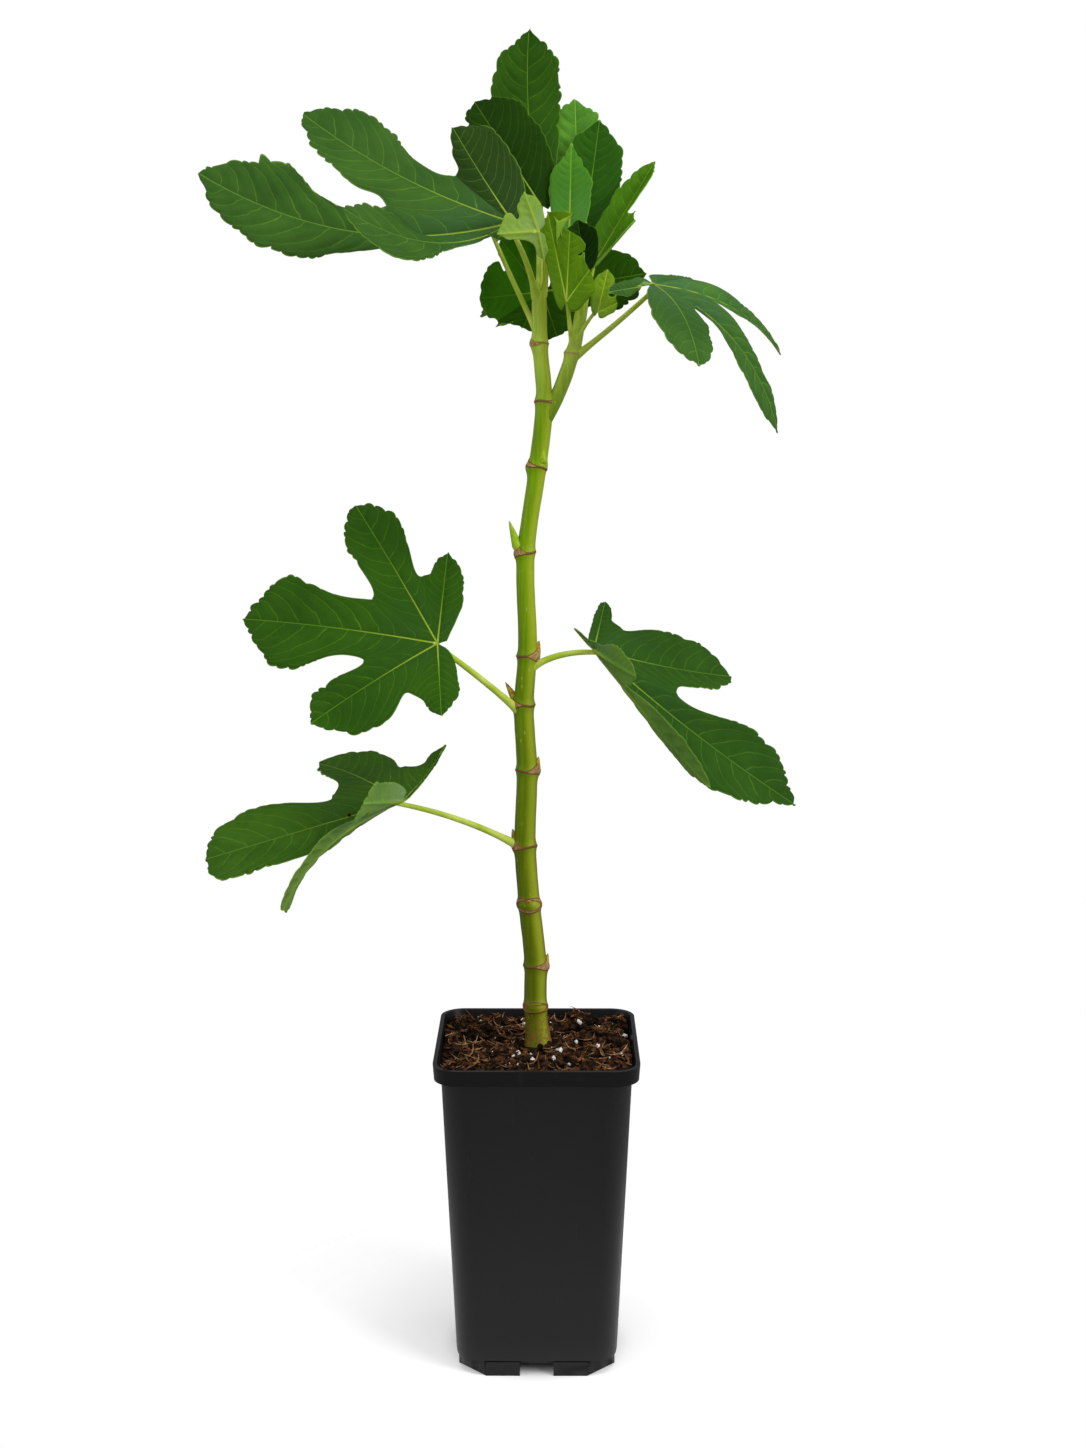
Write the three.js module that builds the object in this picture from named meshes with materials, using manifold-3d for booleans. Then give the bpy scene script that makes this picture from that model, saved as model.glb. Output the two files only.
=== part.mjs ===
// A young fig tree in a square nursery pot. Millimetres, +Z up, with the origin at the centre of
// the pot's flat underside. Each sub-part is a closed solid of its own, and neighbours that touch
// on the real plant lie GAP apart.
import * as THREE from 'three';
import { mergeGeometries, mergeVertices } from 'three/addons/utils/BufferGeometryUtils.js';
import Module from 'manifold-3d';

const wasm = await Module();
wasm.setup();
const radians = THREE.MathUtils.degToRad;
const vec = (x, y, z) => new THREE.Vector3(x, y, z);
const flat = (x, y) => new THREE.Vector2(x, y);
const WELD = 1e-3;

// ---- Driving dimensions ----
const GAP = 0.3;

const POT = {
  height: 208.5, rimWidth: 130, rimHeight: 10, rimSlope: 0.7, rimWall: 2.6,
  topWidth: 120, footWidth: 103, wall: 2, corner: 12, cornerFacets: 4,
  ringWidth: 99.5, ringHeight: 10.7, ringCorner: 14, floor: 13,
  channelWidth: 21.5, channelHeight: 8.4, channelDepth: 28, drainRadius: 4.5,
};
const SOIL = { top: 204, edgeRound: 2 };

// The trunk's centre line as its nodes: height, sideways place, and how much the node swells.
const TRUNK_SIDES = 12;
const TRUNK_NODES = [
  { z: 226, x: -1, swell: 1.12 }, { z: 258, x: -1, swell: 1.08 }, { z: 298, x: -5, swell: 1.1 },
  { z: 337, x: -7.5, swell: 1.16 }, { z: 386, x: -6, swell: 1.14 }, { z: 428, x: -7, swell: 1.16 },
  { z: 459, x: -5.5, swell: 1.16 }, { z: 524, x: -6, swell: 1.16 }, { z: 577, x: 0, swell: 1.18 },
  { z: 617, x: 4, swell: 1.2 }, { z: 652, x: 2, swell: 1.15 },
];
const TRUNK_TIP = { z: 684, x: 1.5 };
// Radius against height: root flare, long lower stem, thinner upper stem, slim leader.
const TRUNK_RADII = [
  { z: 204, r: 9.6 }, { z: 210, r: 8.2 }, { z: 219, r: 7.6 }, { z: 300, r: 7.2 }, { z: 400, r: 6.6 },
  { z: 520, r: 6 }, { z: 545, r: 5.3 }, { z: 612, r: 5.2 }, { z: 624, r: 4.7 }, { z: 676, r: 4.5 },
  { z: 684, r: 4 },
];
const ROOT_FLARE = [209, 214];
const NODE_HALF = 5;
const SIDE_SHOOT = {
  sides: 10, foot: [3, 0, 602], bend: [12, 0, 619], node: [22, 0, 646], tip: [28, 3, 676],
  footRadius: 4.6, nodeRadius: 4.3, tipRadius: 3.4, swell: 1.2,
};
// Buds: height on the trunk, heading, length, radius, and how far the bud leans up from level.
const BUDS = [
  { z: 262, heading: 0, long: 7, radius: 2.6, lean: 60 },
  { z: 301, heading: -90, long: 3, radius: 3.4, lean: 20 },
  { z: 344, heading: 160, long: 9, radius: 2.6, lean: 65 },
  { z: 391, heading: 0, long: 7, radius: 2.8, lean: 60 },
  { z: 436, heading: 145, long: 12, radius: 2.4, lean: 70 },
  { z: 467, heading: 35, long: 8, radius: 2.6, lean: 65 },
  { z: 526, heading: 180, long: 19, radius: 2.8, lean: 65 },
  { z: 581, heading: 0, long: 7, radius: 2.8, lean: 65 },
];

const LEAF = {
  thicknessRatio: 0.0125, thinnest: 0.6, wideLobe: 30, innerRows: 2, curveSteps: 4,
  sinusRound: 7, back: 6, backAngle: 155, creaseSoft: 2, petioleSides: 6, petioleSteps: 7,
  petioleEnd: 0.72, petioleReach: 5,
};

// What a lobe's row leaves out: a flat, straight lobe with two like halves.
const USUAL_LOBE = {
  fold: 0, turn: 0, bow: 0, sweep: 0, widest: 0.6, skew: 0, lean: 0, blunt: 0.5, neck: 0, lead: 0.3,
};

// Leaves. joint is where the petiole meets the blade; heading, pitch and roll aim the blade, in
// degrees: heading round +Z from +X, pitch of the main lobe above level, roll about that lobe.
// cuts are the depths of the gaps from the joint, swings how far each gap is swung round it.
// Lobes run from one side of the blade to the other: at is the angle from the main lobe, long and
// wide its size, fold how far it is turned up about the main lobe, turn how far about its own
// midrib, bow and sweep the rise of the midrib's middle above and beside its chord. widest is the
// share of the length where it is widest, skew and lean the unlikeness of its halves in place and
// width, blunt the roundness of the tip, neck the narrow share of its foot, lead how far an outer
// edge sets off along the lobe.
const LEAVES = [
  {
    name: 'leaf_low_left', color: 0x3a702c, joint: [-85, -15, 369],
    heading: -166, pitch: -14, roll: 24, cuts: [46, 46, 60, 30], swings: [0, 0, 4, 0],
    petiole: { on: 'trunk', z: 334, rise: 32, radius: 2 },
    lobes: [
      { at: -126, long: 75, wide: 8, fold: -11, bow: -3, skew: 0.15, lean: 0.5, blunt: 0.31, lead: 1 },
      { at: -70, long: 106, wide: 44, fold: -14, bow: 4, widest: 0.51, lean: -0.28, blunt: 0.41 },
      { at: 0, long: 127, wide: 56, widest: 0.79, skew: 0.16, lean: -0.05, blunt: 0.82, neck: 0.08 },
      { at: 36, long: 115, wide: 21, fold: -1, turn: 40, bow: 12, widest: 0.74 },
      { at: 59, long: 56, wide: 29, fold: 44, turn: 40, widest: 0.85, lead: 1 },
    ],
  },
  {
    name: 'leaf_mid_left', color: 0x306824, joint: [-61, -25, 470],
    heading: 178, pitch: 7, roll: 59, cuts: [48, 49, 47, 40], swings: [0, 4, 2, 0],
    petiole: { on: 'trunk', z: 421, rise: 42, radius: 2 },
    lobes: [
      {
        at: -87, long: 69, wide: 22, fold: -10, widest: 0.64, skew: 0.1, lean: -0.2, blunt: 0.45,
        neck: 0.34, lead: 0.9,
      },
      { at: -54, long: 112, wide: 38, fold: -4, bow: 3, widest: 0.75, skew: -0.04, lean: 0.04, blunt: 0.54 },
      { at: 0, long: 121, wide: 63, bow: 4, widest: 0.75, skew: -0.03, lean: 0.03, blunt: 0.33, neck: 0.53 },
      { at: 44, long: 94, wide: 44, fold: 5, bow: 3, widest: 0.71, skew: -0.07, lean: 0.27, blunt: 0.48 },
      { at: 101, long: 50, wide: 21, fold: 6, widest: 0.74, skew: -0.13, lean: 0.11, blunt: 0.49, lead: 0.9 },
    ],
  },
  {
    name: 'leaf_mid_right', color: 0x2c622c, joint: [36, -10, 465],
    heading: -9, pitch: -37, roll: -38, cuts: [30, 66, 60, 37], swings: [0, 0, -2, 6],
    petiole: { on: 'trunk', z: 449, rise: 38, radius: 2 },
    lobes: [
      { at: -52, long: 52, wide: 22, fold: 52, turn: -45, bow: -1, widest: 0.5, lead: 1 },
      { at: -27, long: 120, wide: 30, fold: 23.6, turn: -52, bow: -1, widest: 0.7 },
      { at: 0, long: 158, wide: 59, bow: -5, widest: 0.68, skew: 0.03, lean: -0.04, blunt: 0.39, neck: 0.31 },
      { at: 41, long: 106, wide: 46, fold: -13, bow: -3, widest: 0.57, skew: -0.03, lean: 0.24, blunt: 0.52 },
      { at: 105, long: 56, wide: 12, fold: -17, lean: -0.11, lead: 1 },
    ],
  },
  {
    name: 'leaf_crown_left', color: 0x2c6430, joint: [-14, -18, 723],
    heading: -172, pitch: 8, roll: 67, cuts: [47, 75, 50, 20], swings: [-2, 3, 0, 0],
    petiole: { on: 'trunk', z: 679, shift: [-1.8, -1.2], turn: -110, rise: 62, radius: 2.1 },
    lobes: [
      { at: -54, long: 70, wide: 31, fold: -1, bow: -2, widest: 0.68, lean: -0.53, blunt: 0.65, neck: 0.11 },
      {
        at: -28, long: 148, wide: 57, fold: -22, bow: -3, sweep: 6, widest: 0.69, skew: -0.06,
        lean: -0.06, blunt: 0.49, neck: 0.28,
      },
      {
        at: 0, long: 187, wide: 56, bow: -4, sweep: 20, widest: 0.72, skew: -0.05, lean: -0.05,
        blunt: 0.51, neck: 0.6,
      },
      {
        at: 31, long: 119, wide: 50, fold: 55, turn: -25, bow: -10, sweep: 12, widest: 0.73, skew: 0.03,
        lean: 0.21, blunt: 0.67, neck: 0.56,
      },
      { at: 69, long: 30, wide: 18, fold: 38 },
    ],
  },
  {
    name: 'leaf_crown_top', color: 0x24581e, joint: [3, 26, 740],
    heading: 108, pitch: 76, roll: 17, cuts: [], cup: 8,
    petiole: { on: 'trunk', z: 668, rise: 60, radius: 2 },
    lobes: [
      {
        at: 0, long: 108, wide: 44, bow: -4, sweep: 4, widest: 0.67, skew: -0.05, lean: 0.06,
        blunt: 0.33, lead: 1,
      },
    ],
  },
  {
    name: 'leaf_crown_dark', color: 0x1c461a, joint: [2, 8, 736],
    heading: 162, pitch: 62, roll: 55, cuts: [], cup: 8,
    petiole: { on: 'trunk', z: 680, shift: [-0.6, 2.1], rise: 82, radius: 1.6 },
    lobes: [{ at: 0, long: 68, wide: 46 }],
  },
  {
    name: 'leaf_crown_backlit', color: 0x5aa042, joint: [26, 32, 724],
    heading: 98, pitch: 78, roll: 8, cuts: [],
    petiole: { on: 'side_shoot', z: 668, shift: [-1, 1.2], turn: 90, rise: 84, radius: 1.5 },
    lobes: [{ at: 0, long: 81, wide: 40 }],
  },
  {
    name: 'leaf_crown_right_dark', color: 0x22582e, joint: [30, 24, 724],
    heading: 54, pitch: 77, roll: -29, cuts: [],
    petiole: { on: 'side_shoot', z: 674, shift: [1.2, 1.4], turn: 70, rise: 80, radius: 1.3 },
    lobes: [{ at: 0, long: 66, wide: 38, widest: 0.5 }],
  },
  {
    name: 'leaf_crown_mid', color: 0x3c8240, joint: [20, 3, 722],
    heading: 85, pitch: 75, roll: -5, cuts: [],
    petiole: { on: 'side_shoot', z: 673, shift: [-2, -0.6], turn: 180, rise: 80, radius: 1.2 },
    lobes: [{ at: 0, long: 52, wide: 29, widest: 0.45, blunt: 0.2 }],
  },
  {
    name: 'leaf_crown_spear', color: 0x4c881e, joint: [33, 0, 697],
    heading: 27, pitch: 56, roll: -23, cuts: [40], cup: 30,
    petiole: { on: 'side_shoot', z: 671, shift: [2, -0.6], turn: 0, rise: 78, radius: 1.3 },
    lobes: [{ at: -29, long: 39, wide: 10, fold: 22 }, { at: 0, long: 79, wide: 24 }],
  },
  {
    name: 'leaf_crown_curl', color: 0x18461e, joint: [29, -10, 700],
    heading: -155, pitch: 79, roll: 110, cuts: [], cup: 35,
    petiole: { on: 'side_shoot', z: 668, shift: [0.4, -2], turn: -90, rise: 76, radius: 1 },
    lobes: [{ at: 0, long: 25, wide: 24 }],
  },
  {
    name: 'leaf_young', color: 0x6e9628, joint: [18, -30, 676],
    heading: 47, pitch: 86, roll: -49, cuts: [28, 46], cup: 4,
    petiole: { on: 'side_shoot', z: 646, rise: 50, radius: 1.6 },
    lobes: [
      { at: -37, long: 25, wide: 20, fold: -23 },
      { at: 0, long: 41, wide: 20 },
      { at: 15, long: 53, wide: 22, fold: -4, lean: -0.35, blunt: 0.3, lead: 0.6 },
    ],
  },
  {
    name: 'leaf_tiny', color: 0x96be32, joint: [37, -16, 670],
    heading: 19, pitch: 76, roll: -72, cuts: [12], cup: 4, back: 3, sinusRound: 3,
    petiole: { on: 'side_shoot', z: 649, rise: 60, radius: 1.4 },
    lobes: [{ at: -53, long: 13, wide: 9, fold: 15 }, { at: 0, long: 26, wide: 13 }],
  },
  {
    name: 'leaf_hanging', color: 0x184c18, joint: [3, 22, 684],
    heading: -170, pitch: -61, roll: 76, cuts: [26, 33, 24, 30], cup: 4,
    petiole: { on: 'trunk', z: 658, rise: 55, radius: 1.7 },
    lobes: [
      { at: -113, long: 41, wide: 27, fold: 5, lean: -0.4 },
      { at: -55, long: 39, wide: 34, fold: 6, widest: 0.46, lean: -0.25, lead: 0.6 },
      { at: 0, long: 25, wide: 30 },
      { at: 48, long: 29, wide: 32, fold: -4 },
      { at: 129, long: 66, wide: 40, fold: -9 },
    ],
  },
  {
    name: 'leaf_crown_right', color: 0x386e3c, joint: [71, -10, 687],
    heading: -11, pitch: -49, roll: -7, cuts: [10, 39, 44, 34], swings: [-20, 3, 0, 16],
    petiole: { on: 'side_shoot', z: 642, rise: 36, radius: 2 },
    lobes: [
      { at: -94, long: 69, wide: 10, fold: -7, widest: 0.68, blunt: 0.7 },
      {
        at: -45, long: 85, wide: 39, fold: 2, turn: 24, bow: 8, widest: 0.56, skew: -0.01, lean: -0.31,
        blunt: 0.62,
      },
      { at: 0, long: 117, wide: 28, turn: 22, bow: 18, widest: 0.75, lean: -0.45, neck: 0.27 },
      {
        at: 50, long: 120, wide: 18, fold: 10, bow: 12, widest: 0.61, skew: 0.14, lean: 0.21,
        blunt: 0.55, neck: 0.35,
      },
      { at: 85, long: 87, wide: 12, fold: 4 },
    ],
  },
  {
    name: 'leaf_pale', color: 0x8ca550, joint: [1, -38, 716],
    heading: -154, pitch: -6, roll: -98, cuts: [8, 14], cup: 4, back: 3, sinusRound: 4,
    petiole: { on: 'trunk', z: 680, shift: [2.2, -0.8], turn: -30, rise: 75, radius: 1.7 },
    lobes: [
      { at: -104, long: 18, wide: 8, fold: 24, blunt: 0.3 },
      { at: 0, long: 27, wide: 16, lean: 0.5, blunt: 0.2 },
      { at: 77, long: 24, wide: 16, blunt: 0.2 },
    ],
  },
  {
    name: 'leaf_back_left', color: 0x286028, joint: [-27, 12, 719],
    heading: 106, pitch: 6, roll: 12, cuts: [40, 50, 40],
    petiole: { on: 'trunk', z: 656, turn: 165, rise: 62, radius: 1.9 },
    lobes: [
      { at: -48, long: 64, wide: 30, fold: -6, bow: 4 },
      { at: 0, long: 106, wide: 46, bow: 10 },
      { at: 40, long: 82, wide: 36, fold: -6, bow: 6 },
      { at: 82, long: 46, wide: 24, fold: -4 },
    ],
  },
  {
    name: 'leaf_back_right', color: 0x2a6429, joint: [32, 48, 678],
    heading: 104, pitch: 0, roll: 0, cuts: [36, 46, 44],
    petiole: { on: 'side_shoot', z: 652, shift: [0, 1], rise: 8, radius: 1.9 },
    lobes: [
      { at: -68, long: 44, wide: 22, fold: 30 },
      { at: -34, long: 74, wide: 32, fold: 8, bow: 5 },
      { at: 0, long: 104, wide: 44, bow: 10 },
      { at: 42, long: 84, wide: 36, fold: -6, bow: 5 },
    ],
  },
];

// ---- Solids ----
// A geometry as a solid: shared corners are welded and triangles that have shrunk to a line go.
function welded(geometry) {
  const bare = geometry.index ? geometry : mergeVertices(geometry);
  bare.deleteAttribute('normal');
  bare.deleteAttribute('uv');
  const merged = mergeVertices(bare, WELD);
  const kept = [];
  const index = merged.index.array;
  for (let i = 0; i < index.length; i += 3) {
    const [a, b, c] = [index[i], index[i + 1], index[i + 2]];
    if (a !== b && b !== c && c !== a) kept.push(a, b, c);
  }
  merged.setIndex(kept);
  return merged;
}

function solid(geometry) {
  const shell = welded(geometry);
  const mesh = new wasm.Mesh({
    numProp: 3,
    vertProperties: Float32Array.from(shell.attributes.position.array),
    triVerts: Uint32Array.from(shell.index.array),
  });
  mesh.merge();
  return new wasm.Manifold(mesh);
}

function geometryOf(manifold) {
  const mesh = manifold.getMesh();
  const geometry = new THREE.BufferGeometry();
  geometry.setAttribute('position', new THREE.BufferAttribute(mesh.vertProperties, 3));
  geometry.setIndex(new THREE.BufferAttribute(mesh.triVerts, 1));
  geometry.computeVertexNormals();
  return geometry;
}

const tree = new THREE.Group();
function add(name, manifold, color, roughness = 0.7) {
  const material = new THREE.MeshStandardMaterial({ color, roughness, metalness: 0 });
  const mesh = new THREE.Mesh(geometryOf(manifold), material);
  mesh.name = name;
  tree.add(mesh);
}

// A square turned shell: a lathe whose round rings are opened out to squares with round corners.
// Each profile point gives half the width across the flats, the height, and the corner radius.
function squareLathe(profile) {
  const perCorner = POT.cornerFacets + 1;
  const outline = profile.map((p) => flat(p.half, p.z));
  const lathe = new THREE.LatheGeometry(outline, 4 * perCorner);
  const position = lathe.attributes.position;
  for (let i = 0; i < position.count; i++) {
    const ring = Math.floor(i / profile.length);
    const { half, z, corner = 0 } = profile[i % profile.length];
    const side = Math.floor(ring / perCorner);
    const bend = radians(90 * (ring % perCorner) / POT.cornerFacets);
    const point = flat(half - corner + corner * Math.cos(bend), half - corner + corner * Math.sin(bend));
    point.rotateAround(flat(0, 0), radians(90 * (side % 4)));
    position.setXYZ(i, point.x, point.y, z);
  }
  return lathe;
}

// A limb: a closed cylinder bent along a curve, with its radius given at each step. reach draws
// both ends out a little further.
function limb(curve, steps, sides, radiusAt, reach = 0) {
  const tube = new THREE.CylinderGeometry(1, 1, 1, sides, steps);
  const frames = curve.computeFrenetFrames(steps, false);
  const position = tube.attributes.position;
  for (let i = 0; i < position.count; i++) {
    const step = Math.round((position.getY(i) + 0.5) * steps);
    const centre = curve.getPointAt(step / steps);
    const radius = radiusAt(step / steps, centre);
    if (step === 0) centre.addScaledVector(frames.tangents[step], -reach);
    if (step === steps) centre.addScaledVector(frames.tangents[step], reach);
    centre.addScaledVector(frames.normals[step], radius * position.getZ(i));
    centre.addScaledVector(frames.binormals[step], radius * position.getX(i));
    position.setXYZ(i, centre.x, centre.y, centre.z);
  }
  return solid(tube);
}

// Value at x of a curve through rows of { [key], [value] }, straight between them.
function along(rows, key, value, x) {
  const next = rows.findIndex((row) => row[key] > x);
  if (next === 0) return rows[0][value];
  if (next < 0) return rows[rows.length - 1][value];
  const [a, b] = [rows[next - 1], rows[next]];
  return THREE.MathUtils.lerp(a[value], b[value], (x - a[key]) / (b[key] - a[key]));
}

// ---- Pot and soil ----
function makePot() {
  const { height, corner, wall, floor, ringHeight } = POT;
  const rimFoot = height - POT.rimHeight;
  const rim = POT.rimWidth / 2;
  const top = POT.topWidth / 2;
  const foot = POT.footWidth / 2;
  const ring = POT.ringWidth / 2;
  const rimInside = rim - POT.rimWall;
  const shell = solid(squareLathe([
    { half: 0, z: 0 },
    { half: ring - 1, z: 0, corner: POT.ringCorner },
    { half: ring, z: 1, corner: POT.ringCorner },
    { half: ring, z: ringHeight, corner: POT.ringCorner },
    { half: foot, z: ringHeight, corner },
    { half: foot + 0.4, z: ringHeight + 3, corner },
    { half: top, z: rimFoot - 1.5, corner },
    { half: top + 0.8, z: rimFoot, corner },
    { half: rim - POT.rimSlope, z: rimFoot, corner },
    { half: rim, z: height - 1, corner },
    { half: rim - 0.8, z: height, corner },
    { half: rimInside, z: height, corner: corner - wall },
    { half: top - wall + 0.5, z: rimFoot - 2, corner: corner - wall },
    { half: foot - wall, z: floor, corner: corner - wall },
    { half: 0, z: floor },
  ]));
  const cuts = [];
  for (let side = 0; side < 4; side++) {
    const reach = POT.channelDepth + 4;
    const channel = new THREE.BoxGeometry(POT.channelWidth, reach, POT.channelHeight + 2);
    channel.translate(0, -ring + POT.channelDepth - reach / 2, POT.channelHeight / 2 - 1);
    channel.rotateZ(radians(90 * side));
    const drain = new THREE.CylinderGeometry(POT.drainRadius, POT.drainRadius, floor, 12);
    drain.rotateX(Math.PI / 2);
    drain.translate(0, -ring + POT.channelDepth - 2 * POT.drainRadius, floor);
    drain.rotateZ(radians(90 * side));
    cuts.push(solid(channel), solid(drain));
  }
  return cuts.reduce((pot, cut) => pot.subtract(cut), shell);
}

function makeSoil() {
  const { corner, wall, floor, height } = POT;
  const rimFoot = height - POT.rimHeight;
  const top = POT.topWidth / 2 - wall - GAP;
  const foot = POT.footWidth / 2 - wall - GAP;
  const bend = corner - wall;
  return solid(squareLathe([
    { half: 0, z: floor + GAP },
    { half: foot, z: floor + GAP, corner: bend },
    { half: top + 0.3, z: rimFoot - 2.2, corner: bend },
    { half: top + 0.8, z: SOIL.top - SOIL.edgeRound, corner: bend },
    { half: top - 1, z: SOIL.top, corner: bend },
    { half: 0, z: SOIL.top },
  ]));
}

// ---- Trunk and side shoot ----
const trunkFoot = SOIL.top + GAP;
// Stations up the trunk: two in the root flare, then each node has one below it, two close ones
// for its ring, and one above.
function trunkStations() {
  const heights = [trunkFoot, ...ROOT_FLARE];
  for (const { z } of TRUNK_NODES) {
    heights.push(z - NODE_HALF, z - 1, z + 1, z + NODE_HALF);
  }
  heights.push(TRUNK_TIP.z - 5, TRUNK_TIP.z);
  return heights.filter((z, i) => i === 0 || z > heights[i - 1] + 0.5);
}

const trunkLine = new THREE.CatmullRomCurve3([
  vec(1, 0, trunkFoot),
  ...TRUNK_NODES.map(({ x, z }) => vec(x, 0, z)),
  vec(TRUNK_TIP.x, 0, TRUNK_TIP.z),
]);

function centreAt(curve, z) {
  let [low, high] = [0, 1];
  for (let i = 0; i < 30; i++) {
    const middle = (low + high) / 2;
    if (curve.getPoint(middle).z < z) low = middle;
    else high = middle;
  }
  return curve.getPoint(low);
}

function trunkRadius(z) {
  const plain = along(TRUNK_RADII, 'z', 'r', z);
  const near = TRUNK_NODES.find((node) => Math.abs(node.z - z) < 2);
  return near ? plain * near.swell : plain;
}

// The trunk is a vertical cylinder with one ring for each station, moved to its centre line.
function makeTrunk(extra) {
  const stations = trunkStations();
  const tube = new THREE.CylinderGeometry(1, 1, 1, TRUNK_SIDES, stations.length - 1);
  tube.rotateX(Math.PI / 2);
  const position = tube.attributes.position;
  for (let i = 0; i < position.count; i++) {
    const z = stations[Math.round((position.getZ(i) + 0.5) * (stations.length - 1))];
    const centre = centreAt(trunkLine, z);
    const radius = trunkRadius(z) + extra;
    const reach = z === trunkFoot ? -extra : (z === TRUNK_TIP.z ? extra : 0);
    position.setXYZ(i, centre.x + radius * position.getX(i), centre.y + radius * position.getY(i), z + reach);
  }
  return solid(tube);
}

const direction = (heading, lean) => vec(
  Math.cos(radians(lean)) * Math.cos(radians(heading)),
  Math.cos(radians(lean)) * Math.sin(radians(heading)),
  Math.sin(radians(lean)),
);

// A bud is a pointed drop whose foot is sunk in the trunk.
function makeBud({ z, heading, long, radius, lean }) {
  const drop = new THREE.SphereGeometry(1, 8, 6);
  drop.rotateX(Math.PI / 2);
  const position = drop.attributes.position;
  for (let i = 0; i < position.count; i++) {
    const up = position.getZ(i);
    const slim = up > 0 ? 1 - 0.35 * up : 1;
    position.setXYZ(i, position.getX(i) * radius * slim, position.getY(i) * radius * slim, up * long / 2);
  }
  const aim = new THREE.Quaternion().setFromUnitVectors(vec(0, 0, 1), direction(heading, lean));
  const out = direction(heading, 0).multiplyScalar(trunkRadius(z) - 0.6 * radius);
  const foot = centreAt(trunkLine, z).add(out);
  drop.applyMatrix4(new THREE.Matrix4().compose(
    foot.addScaledVector(direction(heading, lean), long * 0.35), aim, vec(1, 1, 1)));
  return solid(drop);
}

const shootLine = new THREE.CatmullRomCurve3(
  [SIDE_SHOOT.foot, SIDE_SHOOT.bend, SIDE_SHOOT.node, SIDE_SHOOT.tip].map((p) => vec(...p)));

function shootRadius(z) {
  const { node, tip, footRadius, nodeRadius, tipRadius, swell } = SIDE_SHOOT;
  if (Math.abs(z - node[2]) < 2.5) return nodeRadius * swell;
  if (z < node[2]) return THREE.MathUtils.mapLinear(z, SIDE_SHOOT.foot[2], node[2], footRadius, nodeRadius);
  return THREE.MathUtils.mapLinear(z, node[2], tip[2], nodeRadius, tipRadius);
}

const makeShoot = (extra) => limb(
  shootLine, 14, SIDE_SHOOT.sides, (t, centre) => shootRadius(centre.z) + extra, extra);

// ---- Leaves ----
const smooth = (t) => THREE.MathUtils.smoothstep(t, 0, 1);
const FULL_TURN = 2 * Math.PI;
const wrap = (angle) => THREE.MathUtils.euclideanModulo(angle + Math.PI, FULL_TURN) - Math.PI;

// The blade's own axes: aim along the main lobe, up out of its upper face, left across it.
function bladeAxes({ heading, pitch, roll }) {
  const aim = direction(heading, pitch);
  const level = vec(0, 0, 1).addScaledVector(aim, -aim.z).normalize();
  const left = new THREE.Vector3().crossVectors(level, aim);
  const up = level.clone().multiplyScalar(Math.cos(radians(roll)));
  up.addScaledVector(left, Math.sin(radians(roll)));
  return { aim, up, left: new THREE.Vector3().crossVectors(up, aim) };
}

// Each lobe gets its own direction, side and up vectors from its angle, fold and turn.
function readyLobes(leaf) {
  const { aim, up, left } = bladeAxes(leaf);
  return leaf.lobes.map((row) => {
    const lobe = { ...USUAL_LOBE, ...row };
    const at = radians(lobe.at);
    const fold = radians(lobe.fold) * (lobe.at < 0 ? -1 : 1);
    const across = left.clone().multiplyScalar(Math.cos(fold)).addScaledVector(up, Math.sin(fold));
    const over = up.clone().multiplyScalar(Math.cos(fold)).addScaledVector(left, -Math.sin(fold));
    const side = across.clone().multiplyScalar(Math.cos(at)).addScaledVector(aim, -Math.sin(at));
    const turn = radians(lobe.turn);
    lobe.angle = at;
    lobe.axis = flat(Math.cos(at), Math.sin(at));
    lobe.along = aim.clone().multiplyScalar(Math.cos(at)).addScaledVector(across, Math.sin(at));
    lobe.side = side.clone().multiplyScalar(Math.cos(turn)).addScaledVector(over, Math.sin(turn));
    lobe.up = over.clone().multiplyScalar(Math.cos(turn)).addScaledVector(side, -Math.sin(turn));
    return lobe;
  });
}

// A point of the flat blade bent with one lobe: along its bowed midrib, then out to the side.
function bendWith(leaf, lobe, point) {
  const t = point.dot(lobe.axis) / lobe.long;
  const out = point.dot(flat(-lobe.axis.y, lobe.axis.x));
  const inside = THREE.MathUtils.clamp(t, 0, 1);
  const hump = 4 * inside * (1 - inside) + 4 * Math.min(t, 0) - 4 * Math.max(t - 1, 0);
  const lift = lobe.up.clone().multiplyScalar(lobe.bow).addScaledVector(lobe.side, lobe.sweep);
  const tangent = lobe.along.clone().multiplyScalar(lobe.long)
    .addScaledVector(lift, 4 * (1 - 2 * inside)).normalize();
  const up = lobe.up.clone().addScaledVector(tangent, -tangent.dot(lobe.up)).normalize();
  const side = new THREE.Vector3().crossVectors(up, tangent);
  const cup = radians(leaf.cup ?? 6);
  const crease = Math.hypot(out, LEAF.creaseSoft) - LEAF.creaseSoft;
  return vec(...leaf.joint).addScaledVector(lobe.along, lobe.long * t).addScaledVector(lift, hump)
    .addScaledVector(side, out * Math.cos(cup)).addScaledVector(up, crease * Math.sin(cup));
}

// Bottom of the gap on one side of a lobe; the outer lobes start just behind the joint instead.
function sinus(leaf, lobes, i, side) {
  const next = side > 0 ? i + 1 : i - 1;
  if (next < 0 || next >= lobes.length) {
    const back = leaf.back ?? LEAF.back;
    return flat(back * Math.cos(radians(LEAF.backAngle)), side * back * Math.sin(radians(LEAF.backAngle)));
  }
  const [low, high] = side > 0 ? [lobes[i], lobes[next]] : [lobes[next], lobes[i]];
  const spread = (lobe) => Math.atan2(lobe.wide / 2, lobe.long * lobe.widest);
  const middle = (low.angle + spread(low) + high.angle - spread(high)) / 2;
  const cut = leaf.cuts[Math.min(i, next)];
  const angle = middle + radians(leaf.swings?.[Math.min(i, next)] ?? 0);
  return flat(cut * Math.cos(angle), cut * Math.sin(angle));
}

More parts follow.
